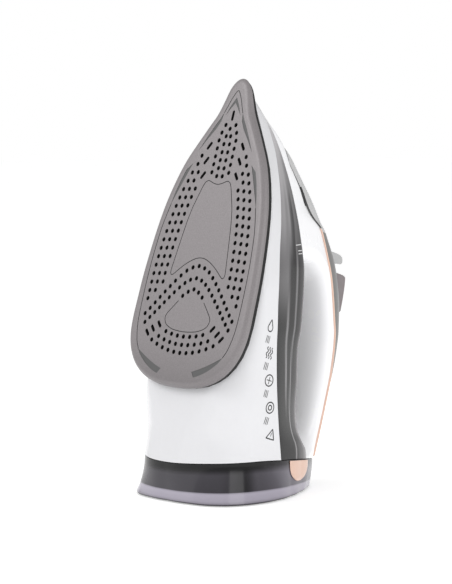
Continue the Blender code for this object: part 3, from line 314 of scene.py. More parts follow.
# ---------------------------------------------------------------- curves through stations
def curve(*stations):
    """A smooth monotone curve through (x, y) stations, held straight beyond its ends."""
    points = sorted(stations)
    xs = np.array([p[0] for p in points], float)
    ys = np.array([p[1] for p in points], float)
    step = np.diff(xs)
    rise = np.diff(ys) / step
    slope = np.zeros(len(xs))
    slope[0] = rise[0]
    slope[-1] = rise[-1]
    for i in range(1, len(xs) - 1):
        if rise[i - 1] * rise[i] > 0:
            a = 2 * step[i] + step[i - 1]
            b = step[i] + 2 * step[i - 1]
            slope[i] = (a + b) / (a / rise[i - 1] + b / rise[i])

    def value(x):
        x = np.asarray(x, float)
        i = np.clip(np.searchsorted(xs, x) - 1, 0, len(step) - 1)
        h = step[i]
        s = (x - xs[i]) / h
        inside = (
            (1 + 2 * s) * (1 - s) ** 2 * ys[i]
            + s * (1 - s) ** 2 * h * slope[i]
            + s * s * (3 - 2 * s) * ys[i + 1]
            + s * s * (s - 1) * h * slope[i + 1]
        )
        below = ys[0] + (x - xs[0]) * slope[0]
        above = ys[-1] + (x - xs[-1]) * slope[-1]
        return np.where(x < xs[0], below, np.where(x > xs[-1], above, inside))

    return value


# Soleplate half width against the root of the distance from the tip, which keeps the tip round.
sole_front = curve((0, 0), (1.4, 5.4), (2.45, 9.2), (5, 17.4), (6.1, 25.3), (6.86, 31.7), (7.97, 41.5),
                   (8.97, 48.2), (9.75, 52.4), (10.63, 55.7), (11.49, 58.0), (12.25, 59.5), (13.23, SOLE_HALF_WIDTH))

# Rails of the body: heights w and half widths v of each seam, against u.
bottom_half = curve((219, 0.5), (211, 9), (206, 13), (190, 22.3), (174, 31.5), (149, 44.5), (126, 51.5), (99, 55.3),
                    (75, 57.2), (50, 56.6), (22, 54.5), (0, 53.5), (-20, 51), (-32, 49), (-50, 47.7), (-90, 46.5))
corner_round = curve((219, 0.3), (190, 2), (110, 3), (80, 6), (50, 14), (20, 24), (0, 27.5), (-20, 35), (-32, 39),
                     (-50, 41), (-90, 42))
tank_low_w = curve((216, 19.5), (171, 19.5), (143, 21), (118, 22.6), (75, 30.2), (55, 35.7), (44, 38.5), (22, 46),
                   (-9, 59), (-32, 70.8), (-50, 79), (-90, 96))
tank_low_v = curve((206, 9.5), (190, 22), (171, 34), (143, 45), (118, 51), (75, 54.5), (44, 54.3), (22, 53.5),
                   (-9, 52), (-32, 50), (-90, 48))
tank_top_w = curve((212, 20.6), (206, 21.5), (190, 26.5), (174, 31.7), (149, 40.7), (126, 49.4), (99, 59.2),
                   (75, 65), (62, 67.5), (50, 69.7), (25, 77.4), (0, 86), (-9, 91), (-15, 97), (-20, 103),
                   (-27, 105.7), (-50, 108), (-90, 110))
tank_top_v = curve((206, 8), (190, 19.5), (174, 28), (149, 37), (126, 42), (99, 45), (62, 45), (50, 43.5), (25, 42),
                   (0, 40.6), (-50, 39.5), (-90, 39))
trim_w = curve((192.4, 42.4), (189, 40.8), (185.7, 40.2), (176.3, 42.3), (169, 48.4), (161.5, 55.2), (150, 63.5),
               (144, 72), (139, 83.5), (131, 91.5), (123, 97.8),
               (108, 107.8), (91, 115.8), (78, 121.3), (69, 125), (53, 128.3), (37, 130), (6, 130.4), (-26, 130),
               (-90, 129))
trim_v = curve((192, 3), (187, 14), (179, 20), (161.5, 24), (150, 25.8), (144, 25.5), (139, 24.5), (131, 23.2),
               (123, 22.5), (91, 21.7), (53, 21), (-90, 21.6))
crest_w = curve((221, 5), (219.8, 8), (216.5, 14), (207.5, 25.8), (192.6, 43), (176.5, 62.8), (166.3, 74),
                (157, 85), (146, 96.3), (142, 99.8), (135, 106.9), (128, 114.6), (119, 122.5), (113, 126.3),
                (86, 137.6), (66, 141), (52, 141.5), (42, 141),
                (24, 138.5), (6, 136), (-10, 135), (-90, 133))
BELLY_W = 8.8


def nose_thin(u):
    """Share of their height that soleplate and belly keep at station u: both thin towards the tip."""
    return 1 - 0.5 * np.clip((np.asarray(u, float) - 198) / 28, 0, 1)


def belly_w(u):
    return BELLY_W * nose_thin(u)


def sole_outline(inset=0.0, front_steps=22, heel_steps=9):
    """Half of the soleplate's edge from tip to heel as (u, v), moved inwards by inset."""
    half = []
    for k in range(front_steps + 1):
        q = math.sqrt(SOLE_LENGTH - 50) * k / front_steps
        half.append((SOLE_LENGTH - q * q, float(sole_front(q))))
    for k in range(1, heel_steps + 1):
        a = math.pi / 2 * k / heel_steps
        half.append((50 - 50 * math.sin(a) ** 0.8, SOLE_HALF_WIDTH * max(math.cos(a), 0) ** 0.8))
    half[-1] = (0.0, 0.0)
    points = np.array(half)
    ahead = np.vstack([points[1:], points[-1] * (1, -1) + (0, -1e-3)])
    behind = np.vstack([points[0] * (1, -1) + (0, -1e-3), points[:-1]])
    run = ahead - behind
    run[0] = (0, 1)
    run[-1] = (0, -1)
    normal = np.stack([run[:, 1], -run[:, 0]], 1)
    normal /= np.linalg.norm(normal, axis=1)[:, None]
    moved = points - normal * inset
    moved[:, 1] = np.clip(moved[:, 1], 0, None)
    return moved


def outline_loop(inset=0.0, front_steps=22, heel_steps=9, front=400.0):
    """The whole edge, moved inwards by inset and cut square at the station front."""
    half = sole_outline(inset, front_steps, heel_steps)
    keep = [tuple(p) for i, p in enumerate(half) if p[0] < front and (i in (0, len(half) - 1) or p[1] > 0.4)]
    if front < 400:
        keep.insert(0, (front, float(np.interp(front, half[::-1, 0], half[::-1, 1]))))
        left = [(p[0], -p[1]) for p in keep[-2::-1]]
    else:
        left = [(p[0], -p[1]) for p in keep[-2:0:-1]]
    return keep + left


def side_v(u, w):
    """Half width of the body at station u and height w."""
    u = np.asarray(u, float)
    w = np.asarray(w, float)
    r = corner_round(u)
    flat = bottom_half(u) - r
    knee = belly_w(u) + r
    w1, v1 = tank_low_w(u), tank_low_v(u)
    w2, v2 = tank_top_w(u), tank_top_v(u)
    w3, v3 = trim_w(u), trim_v(u)
    w4 = crest_w(u)
    low = flat + np.sqrt(np.clip(r * r - (knee - w) ** 2, 0, None))
    s = np.clip((w - knee) / np.maximum(w1 - knee, 1e-3), 0, 1)
    skirt = bottom_half(u) + (v1 - bottom_half(u)) * s**1.4
    s = np.clip((w - w1) / np.maximum(w2 - w1, 1e-3), 0, 1)
    tank = v1 + (v2 - v1) * s**1.1
    s = np.clip((w - w2) / np.maximum(w3 - w2, 1e-3), 0, 1)
    full = np.clip((u - 150) / 40, 0, 1) * 0.75 + 0.25
    house = v3 + (v2 - v3) * (full * np.sqrt(np.clip(1 - s * s, 0, 1)) + (1 - full) * (1 - s))
    s = np.clip((w - w3) / np.maximum(w4 - w3, 1e-3), 0, 1)
    cap = v3 * np.sqrt(np.clip(1 - s * s, 0, 1))
    found = np.where(w < knee, low, np.where(w < w1, skirt, np.where(w < w2, tank, np.where(w < w3, house, cap))))
    # The prow above the seams is one round ridge.
    ridge = np.clip((w - w2) / np.maximum(w4 - w2, 1e-3), 0, 1)
    prow = v2 * np.sqrt(np.clip(1 - ridge * ridge, 0, 1))
    found = np.where((u > 192) & (w > w2), prow, found)
    # Below the ridge line the band narrows to nothing at the very front.
    room = np.clip((prow_u(w) - u) / 12, 0, 1)
    return found * np.sqrt(np.clip(1 - (1 - room) ** 2, 0, 1))


prow_line = curve((5, 221), (8, 219.8), (14, 216.5), (25.8, 207.5), (43, 192.6), (62.8, 176.5), (74, 166.3), (85, 157),
                  (96.3, 146), (99.8, 142), (106.9, 135), (114.6, 128), (122.5, 119), (126.3, 113), (137.6, 86),
                  (141, 66))


def prow_u(w):
    """Where the ridge of the prow lies at height w."""
    return prow_line(w)


def seam_z(y, v):
    """World height of the seam between the body and the heel piece, y from the soleplate's heel."""
    y = np.asarray(y, float)
    fall = 9.0 * (np.clip(y - 20, 0, None) / 100) ** 2
    dip = 1.0 * np.exp(-((np.asarray(v, float) / 22) ** 2)) * np.clip((12 - y) / 12, 0, 1)
    return 29.4 - fall - dip


# ---------------------------------------------------------------- mesh helpers
def raw_mesh(name, points, faces, looks, indices=None, uv=None, middle=None):
    """A mesh in metres from points in mm in the iron's frame; middle is a point that its faces look away from."""
    mesh = bpy.data.meshes.new(name)
    mesh.from_pydata([at(p) for p in points], [], [tuple(int(i) for i in f) for f in faces])
    for look in looks:
        mesh.materials.append(look)
    if indices is not None:
        mesh.polygons.foreach_set("material_index", indices)
    if uv is not None:
        layer = mesh.uv_layers.new(name="UVMap")
        for loop in mesh.loops:
            layer.data[loop.index].uv = uv[loop.vertex_index]
    work = bmesh.new()
    work.from_mesh(mesh)
    bmesh.ops.remove_doubles(work, verts=work.verts, dist=2e-6)
    bmesh.ops.dissolve_degenerate(work, edges=work.edges, dist=1e-6)
    bmesh.ops.recalc_face_normals(work, faces=work.faces)
    if middle is None:
        inward = work.calc_volume(signed=True) < 0
    else:
        centre = at(middle)
        inward = sum(f.normal.dot(f.calc_center_median() - centre) * f.calc_area() for f in work.faces) < 0
    if inward:
        bmesh.ops.reverse_faces(work, faces=work.faces)
    work.to_mesh(mesh)
    work.free()
    return mesh


def loft(rings, close=True):
    count = len(rings[0])
    points = [p for ring in rings for p in ring]
    faces = []
    for i in range(len(rings) - 1):
        for j in range(count):
            k = (j + 1) % count
            faces.append((i * count + j, i * count + k, (i + 1) * count + k, (i + 1) * count + j))
    if close:
        faces.append(tuple(range(count))[::-1])
        faces.append(tuple((len(rings) - 1) * count + j for j in range(count)))
    return points, faces


def prism(outline, low, high, axis="w"):
    if axis == "w":
        rings = [[(a, b, h) for a, b in outline] for h in (low, high)]
    else:
        rings = [[(a, h, b) for a, b in outline] for h in (low, high)]
    return loft(rings)


def circle(cu, cv, radius, sides=24):
    return [(cu + radius * math.cos(2 * math.pi * k / sides), cv + radius * math.sin(2 * math.pi * k / sides))
            for k in range(sides)]


def slot_outline(start, end, width, cap=6):
    (ax, ay), (bx, by) = start, end
    heading = math.atan2(by - ay, bx - ax)
    points = []
    for centre, base in (((bx, by), heading - math.pi / 2), ((ax, ay), heading + math.pi / 2)):
        for k in range(cap + 1):
            a = base + math.pi * k / cap
            points.append((centre[0] + width / 2 * math.cos(a), centre[1] + width / 2 * math.sin(a)))
    return points


def box(low, high):
    (a, b, c), (d, e, f) = low, high
    return loft([[(a, b, h), (d, b, h), (d, e, h), (a, e, h)] for h in (c, f)])


def lathe(profile, centre, axis, sides=48, closed=False, ridges=0, ridge=0.0, ridged=()):
    """A body of revolution through (radius, along) points; closed joins the last point to the first."""
    axis = Vector(axis).normalized()
    across = axis.orthogonal().normalized()
    other = axis.cross(across)
    rings = []
    for i, (radius, along_axis) in enumerate(profile):
        ring = []
        for k in range(sides):
            a = 2 * math.pi * k / sides
            r = max(radius, 1e-4)
            if ridges and i in ridged:
                r -= ridge * (0.5 - 0.5 * math.cos(a * ridges))
            ring.append(tuple(Vector(centre) + axis * along_axis + (across * math.cos(a) + other * math.sin(a)) * r))
        rings.append(ring)
    if closed:
        points, faces = loft(rings + [rings[0]], False)
        return points, faces
    return loft(rings)


def tube_path(path, radius, sides=12):
    path = [Vector(p) for p in path]
    rings = []
    side = None
    for i, here in enumerate(path):
        run = (path[min(i + 1, len(path) - 1)] - path[max(i - 1, 0)]).normalized()
        if side is None:
            side = run.orthogonal().normalized()
        side = (side - run * side.dot(run)).normalized()
        other = run.cross(side)
        angles = [2 * math.pi * k / sides for k in range(sides)]
        rings.append([tuple(here + (side * math.cos(a) + other * math.sin(a)) * radius) for a in angles])
    return loft(rings)


def smooth_line(points, steps=6, closed=False):
    """Catmull-Rom points through a polyline."""
    p = [np.array(q, float) for q in points]
    found = []
    last = len(p) if closed else len(p) - 1
    for i in range(last):
        if closed:
            a, b, c, d = (p[(i + k) % len(p)] for k in (-1, 0, 1, 2))
        else:
            b, c = p[i], p[i + 1]
            a = p[i - 1] if i else 2 * b - c
            d = p[i + 2] if i + 2 < len(p) else 2 * c - b
        for k in range(steps):
            s = k / steps
            cubic = (3 * b - a - 3 * c + d) * s**3
            found.append(0.5 * (2 * b + (c - a) * s + (2 * a - 5 * b + 4 * c - d) * s**2 + cubic))
    if not closed:
        found.append(p[-1])
    return found


def solid_mesh(name, shape, looks, cuts=(), adds=(), uv=None, thick=0.0):
    """The mesh of shape plus adds minus cuts. A cut is a shape, or (shape, look) to line the hole with look, and
    shape may be a ready mesh, an open skin when thick gives its wall in mm."""
    ready = isinstance(shape, bpy.types.Mesh)
    made = bpy.data.objects.new("work", shape if ready else raw_mesh(name, *shape, looks, uv=uv))
    scene.collection.objects.link(made)
    if thick:
        wall = made.modifiers.new("wall", "SOLIDIFY")
        wall.thickness = thick * 0.001
        wall.offset = -1
    helpers = []
    for operation, group in (("UNION", adds), ("DIFFERENCE", cuts)):
        for other in group:
            lined = isinstance(other[1], bpy.types.Material)
            shape_of, look = (other if lined else (other, looks[0]))
            tool = bpy.data.objects.new("tool", raw_mesh("tool", *shape_of, [look]))
            scene.collection.objects.link(tool)
            helpers.append(tool)
            step = made.modifiers.new("step", "BOOLEAN")
            step.operation = operation
            step.solver = "EXACT"
            step.material_mode = "TRANSFER"
            step.object = tool
    bpy.context.view_layer.update()
    mesh = bpy.data.meshes.new_from_object(made.evaluated_get(bpy.context.evaluated_depsgraph_get()))
    for used in [made, *helpers]:
        bpy.data.objects.remove(used, do_unlink=True)
    mesh.name = name
    return mesh


def show(name, mesh, body, stands_for=(), bevel=0.0, segments=3, angle=38.0, limit=35.0):
    """Makes the mesh a piece that rides on a body, in place of CAD nodes."""
    mesh.shade_smooth()
    mesh.set_sharp_from_angle(angle=math.radians(angle))
    piece = bpy.data.objects.new(name, mesh)
    scene.collection.objects.link(piece)
    if bevel:
        edge = piece.modifiers.new("edge", "BEVEL")
        edge.width = bevel * 0.001
        edge.segments = segments
        edge.limit_method = "ANGLE"
        edge.angle_limit = math.radians(limit)
        edge.harden_normals = True
    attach(piece, body)
    if stands_for:
        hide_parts(*stands_for)
    return piece


def grid_faces(rows, columns):
    return [(i * columns + j, i * columns + j + 1, (i + 1) * columns + j + 1, (i + 1) * columns + j)
            for i in range(rows - 1) for j in range(columns - 1)]


def seam_station(section, q):
    """Station u at which the curve section(u, q) of a shell meets the heel seam, for each q."""
    low = np.full(len(q), -95.0)
    high = np.full(len(q), 70.0)
    for _ in range(40):
        u = (low + high) / 2
        v, w = section(u, q)
        above = u * COS - w * SIN + SOLE_HEEL_Z > seam_z(u * SIN + w * COS, v) + GAP / 2
        high = np.where(above, u, high)
        low = np.where(above, low, u)
    return (low + high) / 2


def shell_grid(section, q, front, rows, power=1.5):
    """Points and UVs of a full-width skin: section(u, q) gives one side from q = 0 to 1."""
    start = seam_station(section, q)
    t = np.linspace(0, 1, rows)
    u = start[None, :] + (front - start[None, :]) * (1 - (1 - t[:, None]) ** power)
    v, w = section(u, np.broadcast_to(q, u.shape))
    return u, v, w, t


# ---------------------------------------------------------------- soleplate
def steam_holes():
    """Centres (u, v) of the round holes on one side, v >= 0; those with v = 0 lie on the centre line."""
    holes = [(191.0, 5.2), (188.2, 0.0), (185.3, 7.6), (182.7, 2.3)]
    for k in range(5):
        holes.append((179.5 - 5.9 * k, 8.75))
        holes.append((176.8 - 5.9 * k, 2.9))
    middle = curve((168, 18.5), (150.2, 25.2), (144.5, 27.8), (138.2, 30), (125.6, 33.4), (113, 36), (100.5, 37.9),
                   (87.5, 39.3), (74.7, 40.1), (61, 40.2))
    pitch = 6.3
    for k in range(17):
        u = 168.2 - pitch * k
        base = float(middle(u))
        spread = 6.1 if u > 80 else 6.0
        columns = {0: (0.75,), 1: (0.75,), 2: (0, 1), 3: (0, 1)}.get(k, (-1, 0, 1))
        if k == 15:
            columns = (-1, 0, 1)
        if k == 16:
            columns = (0, 1)
        for c in columns:
            holes.append((u - 0.4 * c, base + spread * c))
    holes.append((61.0, 46.2))
    for rows in (
        ((87.3, 0), (86, 6.1), (83.3, 11.7), (79.5, 16.6), (75.4, 21.2), (71.2, 25.4), (67, 29.5), (62.7, 33.5),
         (58.4, 37.4), (54.1, 41.4), (50, 45.5)),
        ((78.4, 0), (77, 5.8), (74.3, 10.8), (70.8, 15.4), (67, 19.7), (63.1, 23.8), (59.2, 27.8), (55.3, 31.7),
         (51.4, 35.6), (47.5, 39.6), (43.6, 43.6)),
        ((70.3, 0), (68.3, 5.4), (65, 10.2)),
    ):
        holes.extend(rows)
    for level, sag, count in ((36.0, 0.0068, 3), (30.0, 0.0068, 4), (24.2, 0.0070, 5)):
        for k in range(count + 1):
            v = 6.45 * k
            holes.append((level + sag * v * v, v))
    return holes


def steam_slots():
    """Ends of the slots on one side as ((u, v), (u, v))."""
    found = []
    for u in (177.2, 166.2, 155.4):
        found.append(((u, 15.9), (u - 3.6, 18.6)))
    for u, v in ((44.7, 29.2), (41.2, 35.0), (37.9, 40.0)):
        found.append(((u, v), (u - 2.9, v - 2.7)))
    return found


def sole_ring(inset, height):
    half = sole_outline(inset, 56, 26)
    half[:, 1] = np.maximum(half[:, 1], 0.0)
    ring = [tuple(p) for p in half] + [(p[0], -p[1]) for p in half[-2:0:-1]]
    return [(u, v, height * float(nose_thin(u))) for u, v in ring]


def ribbon(line, width, closed=False):
    """Outline, or two outlines when closed, of a strip along a line of points."""
    p = np.array(line, float)
    if closed:
        run = np.roll(p, -1, 0) - np.roll(p, 1, 0)
    else:
        run = np.gradient(p, axis=0)
    run /= np.linalg.norm(run, axis=1)[:, None]
    side = np.stack([-run[:, 1], run[:, 0]], 1) * width / 2
    if closed:
        return [p + side, p - side]
    return [np.vstack([p + side, (p - side)[::-1]])]


def mirrored(points):
    """A line from the centre line over the right side, continued over the left to the centre line."""
    right = [tuple(p) for p in points]
    left = [(u, -v) for u, v in right if abs(v) > 1e-6]
    return left[::-1] + right


def both_sides(outline):
    return [np.array(outline, float), np.array([(u, -v) for u, v in outline], float)]


LINE = 0.62
edge_tip = mirrored([(216.4, 0), (215.4, 1.6), (210, 4.9), (205, 7.2), (200, 9.6)])
edge_side = [(131.5, 44), (120, 47), (110, 48.9), (90, 50.9), (70, 51.6), (50, 51.4), (40, 50.4), (30, 47.6),
             (24, 44.2)]
panel = [(147.2, 0), (147.9, 4), (149.3, 8), (149.6, 10.6), (148.2, 12.9), (145, 14.7), (140, 16.6), (130, 20.3),
         (120, 22.7), (110, 24.4), (100, 25.9), (90, 27.3), (83.5, 28.2), (80.6, 27.9), (79.6, 26.4), (80.4, 24.6),
         (83, 21.4), (87, 16), (90.5, 10), (92.6, 4.5), (93.2, 0)]
panel_loop = panel + [(u, -v) for u, v in panel[-2:0:-1]]
heart = mirrored([(39.4, 0), (39.8, 8), (40.8, 14), (43.2, 20), (46.5, 22.8), (50.2, 22.9), (54.5, 19.6), (61.3, 13.2)])
chevron = [(211.4, 0), (205, 4.3), (198, 7.7), (203.4, 3.5), (207.4, 0)]
wedge_one = [(200.2, 9.5), (196, 12), (190, 16.3), (181, 22.1), (171, 28), (180.4, 20.6), (188, 14.2), (193.6, 10.7)]
wedge_two = [(162, 30.4), (157.2, 36), (149, 39.4), (140, 42.3), (131, 44.4), (140, 40.4), (150, 35.9)]
bar = smooth_line([(24, 44.4), (19.5, 40.4), (14.2, 33.4), (10.2, 25.6), (8, 19.2)], 4)
bar += smooth_line([(11.8, 16.2), (14.3, 23.6), (18.2, 32.8), (24, 44.2)], 4)[:-1]

recesses = []
for line, closed in ((edge_tip, False), (edge_side, False), ([(u, -v) for u, v in edge_side], False),
                     (panel_loop, True), (heart, False)):
    recesses.append((ribbon(smooth_line(line, 5, closed), LINE, closed), 0.3, 1))
chevron_loop = chevron + [(u, -v) for u, v in chevron[-2:0:-1]]
recesses.append(([np.array(chevron_loop, float)], 0.22, 2))
for outline in (wedge_one, wedge_two, bar):
    for one in both_sides(outline):
        recesses.append(([one], 0.22, 2))


def build_soleplate():
    """Flat face triangulated round every hole and groove, walls down into each, and the rolled rim."""
    rim = ((4.8, 0.0), (3.9, 0.05), (3.1, 0.22), (2.3, 0.58), (1.5, 1.15), (0.8, 1.95), (0.3, 2.9), (0.05, 3.8),
           (0.0, 4.5), (0.2, 5.05), (0.7, 5.4), (1.6, 5.5))
    rings = [sole_ring(inset, height) for inset, height in rim]
    openings = []
    for u, v in steam_holes():
        for side in (1, -1) if v > 0.1 else (1,):
            openings.append(np.array(circle(u, side * v, HOLE_RADIUS + 0.35, 18)))
    for start, end in steam_slots():
        for side in (1, -1):
            ends = (start[0], side * start[1]), (end[0], side * end[1])
            openings.append(np.array(slot_outline(*ends, SLOT_WIDTH + 0.2)))
    openings.append(np.array(slot_outline((200.8, 0), (195.2, 0), SLOT_WIDTH + 0.1)))
    loops = [np.array([(u, v) for u, v, _ in rings[0]])] + openings
    groove_spans = []
    for outlines, depth, look in recesses:
        first = len(loops)
        loops.extend(outlines)
        groove_spans.append((first, len(loops), depth, look))
    points, edges = [], []
    for loop in loops:
        base = len(points)
        points.extend(Vector((float(a), float(b))) for a, b in loop)
        edges.extend((base + k, base + (k + 1) % len(loop)) for k in range(len(loop)))
    flat, _, triangles, _, _, _ = geometry.delaunay_2d_cdt(points, edges, [], 0, 1e-5)
    flat = np.array([(p.x, p.y) for p in flat])
    tri = np.array([t for t in triangles if len(t) == 3])
    centres = flat[tri].mean(1)

    def within(loop):
        """Which centres lie in the loop."""
        x, y = centres[:, 0], centres[:, 1]
        inside = np.zeros(len(centres), bool)
        for (x0, y0), (x1, y1) in zip(loop, np.roll(loop, -1, 0)):
            crossing = (y0 > y) != (y1 > y)
            if crossing.any():
                inside ^= crossing & (x < (x1 - x0) * (y - y0) / np.where(y1 == y0, 1e-9, y1 - y0) + x0)
        return inside

    kind = np.where(within(loops[0]), 0, -1)
    depth_of = np.zeros(len(tri))
    for loop in openings:
        kind[within(loop)] = -1
    for first, last, depth, look in groove_spans:
        inside = np.zeros(len(centres), bool)
        for loop in loops[first:last]:
            inside ^= within(loop)
        kind[inside & (kind >= 0)] = look
        depth_of[inside] = depth
    verts, faces, looks_of = [], [], []
    for t, k, d in zip(tri, kind, depth_of):
        if k < 0:
            continue
        base = len(verts)
        verts.extend((flat[i][0], flat[i][1], d if k else 0.0) for i in t)
        faces.append((base, base + 1, base + 2))
        looks_of.append(int(k))

    def wall(loop, low, high, look, shrink=None):
        base = len(verts)
        centre = loop.mean(0)
        top = loop if shrink is None else centre + (loop - centre) * shrink
        verts.extend((a, b, low) for a, b in loop)
        verts.extend((a, b, high) for a, b in top)
        n = len(loop)
        for k in range(n):
            faces.append((base + k, base + (k + 1) % n, base + n + (k + 1) % n, base + n + k))
            looks_of.append(look)
        return top

    for first, last, depth, look in groove_spans:
        for loop in loops[first:last]:
            wall(loop, 0.0, depth, look)
    # Each opening gets a lip of coating, then a near-black wall and a floor at 4.6 mm that closes it: painted shade.
    for loop in openings:
        lip = wall(loop, 0.0, 0.16, 0, 0.95)
        floor_of = wall(lip, 0.16, 4.6, 3)
        base = len(verts)
        verts.extend((a, b, 4.6) for a, b in floor_of)
        faces.append(tuple(range(base, base + len(floor_of))))
        looks_of.append(3)
    count = len(rings[0])
    base = len(verts)
    for ring in rings:
        verts.extend(ring)
    for i in range(len(rings) - 1):
        for j in range(count):
            k = (j + 1) % count
            a = base + i * count
            faces.append((a + j, a + k, a + count + k, a + count + j))
            looks_of.append(0)
    faces.append(tuple(base + (len(rings) - 1) * count + j for j in range(count)))
    looks_of.append(0)
    mesh = raw_mesh("soleplate_face", verts, faces, [COATING_AND_PAINTED_LIGHT, GROOVE, INLAY, HOLE_PAINTED_SHADE], looks_of, middle=(110, 0, 3))
    return mesh


show("soleplate_face", build_soleplate(), "body", ["soleplate"], angle=30)


# ---------------------------------------------------------------- lower body and tank skins
def lower_section(u, q):
    r = np.maximum(corner_round(u), 0.3)
    half = np.maximum(bottom_half(u), 0.5)
    knee = belly_w(u) + r
    limit = np.maximum(np.minimum(tank_low_w(u), crest_w(u) - 1.5), knee + 0.5)
    flat, arc = 0.34, 0.64
    s1 = np.clip(q / flat, 0, 1)
    s2 = np.clip((q - flat) / (arc - flat), 0, 1)
    s3 = np.clip((q - arc) / (1 - arc), 0, 1)
    w = belly_w(u) + r * (1 - np.cos(s2 * math.pi / 2)) + (limit - knee) * s3
    v = (half - r) * s1 + r * np.sin(s2 * math.pi / 2)
    return np.where(s3 > 0, np.maximum(side_v(u, w), 0.4), v), w


def tank_section(u, q):
    low = tank_low_w(u) + GAP / 2
    high = np.maximum(tank_top_w(u) - GAP / 2, low + 0.3)
    crown = 2.6 * np.clip((100 - u) / 22, 0, 1) * np.clip((u + 14) / 20, 0, 1)
    side = 0.64
    s = np.clip(q / side, 0, 1)
    w = low + (high - low) * s
    v = np.maximum(side_v(u, np.minimum(w, tank_top_w(u) - 0.05)), 0.4)
    over = np.clip((q - side) / (1 - side), 0, 1)
    return v * (1 - over), w + crown * (1 - (1 - over) ** 2)


def full_skin(name, section, q, front, rows, looks, middle):
    u, v, w, t = shell_grid(section, q, front, rows)
    columns = 2 * len(q) - 1
    points, uv = [], []
    for i in range(rows):
        half = [(u[i, j], v[i, j], w[i, j]) for j in range(len(q))]
        if section is tank_section:
            line = [(a, -b, c) for a, b, c in half] + half[-2::-1]
            share = list(q) + list(q[-2::-1])
        else:
            line = [(a, -b, c) for a, b, c in half[:0:-1]] + half
            share = list(q[:0:-1]) + list(q)
        points.extend(line)
        uv.extend((float(s), float(t[i])) for s in share)
    return raw_mesh(name, points, grid_faces(rows, columns), looks, uv=uv, middle=middle)


lower_q = np.concatenate([np.linspace(0, 0.34, 14)[:-1], np.linspace(0.34, 0.64, 22)[:-1], np.linspace(0.64, 1, 26)])
lower_mesh = full_skin("lower_body", lower_section, lower_q, 217.4, 112, [WHITE], (60, 0, 34))
hot_opening = prism(outline_loop(CASTING_INSET - 1.2, 14, 6, 187.8), 0, 24)
lower_mesh = solid_mesh("lower_body", lower_mesh, [WHITE], cuts=[hot_opening], thick=1.8)
show("lower_body", lower_mesh, "body", ["lower_housing"], bevel=0.35, limit=50)

DECK = ((0.68, 70), (1.0, 58))
# The thin light lines across the tank band are painted highlights; one of them is also the inner body's edge seen
# through the plastic.
SMOKE_AND_HIGHLIGHTS = banded("smoked plastic", [(t, (*band, *DECK)) for t, band in (
    (0.0, ((0.0, 34), (0.2, 32), (0.37, 38), (0.395, 150), (0.42, 66), (0.56, 120), (0.60, 150), (0.64, 168))),
    (0.06, ((0.0, 24), (0.25, 24), (0.37, 28), (0.395, 160), (0.42, 40), (0.56, 84), (0.60, 140), (0.64, 164))),
    (0.16, ((0.0, 20), (0.24, 24), (0.285, 150), (0.32, 24), (0.40, 20), (0.43, 136), (0.46, 24), (0.60, 60),
            (0.64, 130))),
    (0.25, ((0.0, 30), (0.22, 30), (0.265, 138), (0.31, 26), (0.43, 28), (0.465, 128), (0.50, 24), (0.60, 66),
            (0.64, 132))),
    (0.38, ((0.0, 104), (0.22, 112), (0.30, 44), (0.42, 34), (0.46, 130), (0.50, 32), (0.60, 70), (0.64, 116))),
    (0.55, ((0.0, 146), (0.12, 152), (0.20, 130), (0.30, 146), (0.36, 84), (0.44, 52), (0.50, 112), (0.64, 80))),
    (0.68, ((0.0, 172), (0.30, 164), (0.42, 140), (0.50, 124), (0.64, 116))),
    (0.80, ((0.0, 196), (0.30, 188), (0.64, 182))),
    (0.93, ((0.0, 222), (0.64, 216))),
)])
tank_q = np.concatenate([np.linspace(0, 0.64, 26)[:-1], np.linspace(0.64, 1, 16)])
tank_mesh = full_skin("tank_band", tank_section, tank_q, 210.3, 104, [SMOKE_AND_HIGHLIGHTS], (60, 0, 50))
deck_holes = [prism(circle(DIAL_U, 0, 4.2, 24), 40, 120), prism(circle(VALVE_U, 0, 3.6, 20), 40, 120),
              prism(circle(160, 0, 7.0, 28), 32, 120), prism(circle(110, -9, 2.6, 14), 50, 120)]
tank_mesh = solid_mesh("tank_band", tank_mesh, [SMOKE_AND_HIGHLIGHTS], cuts=deck_holes, thick=2.0)
show("tank_band", tank_mesh, "body", ["water_tank"], bevel=0.5, limit=40)


def stroke(points, width, lift, left=False):
    """A printed line on the side of the body through (u, w) points."""
    fine = []
    for (u0, w0), (u1, w1) in zip(points, points[1:]):
        steps = max(int(math.hypot(u1 - u0, w1 - w0) / STROKE_STEP), 1)
        fine += [(u0 + (u1 - u0) * k / steps, w0 + (w1 - w0) * k / steps) for k in range(steps)]
    points = [*fine, points[-1]]
    outline = ribbon(points, width)[0]
    n = len(points)
    verts = []
    for u, w in outline:
        v = float(side_v(u, w)) + lift
        verts.append((u, -v if left else v, w))
    faces = [(k, k + 1, 2 * n - 2 - k, 2 * n - 1 - k) for k in range(n - 1)]
    return verts, faces


def joined(*parts):
    points, faces = [], []
    for more_points, more_faces in parts:
        base = len(points)
        points.extend(more_points)
        faces.extend(tuple(i + base for i in face) for face in more_faces)
    return points, faces


def ring_points(cu, cw, ru, rw, start=0.0, turn=1.0, count=20):
    return [(cu + ru * math.cos(2 * math.pi * (start + turn * k / count)),
             cw + rw * math.sin(2 * math.pi * (start + turn * k / count))) for k in range(count + 1)]


SIGN_STATIONS = (54.2, 36.0, 17.7, -0.3, -18.0)
MARK_SLANT = 0.31
STROKE_STEP = 0.8


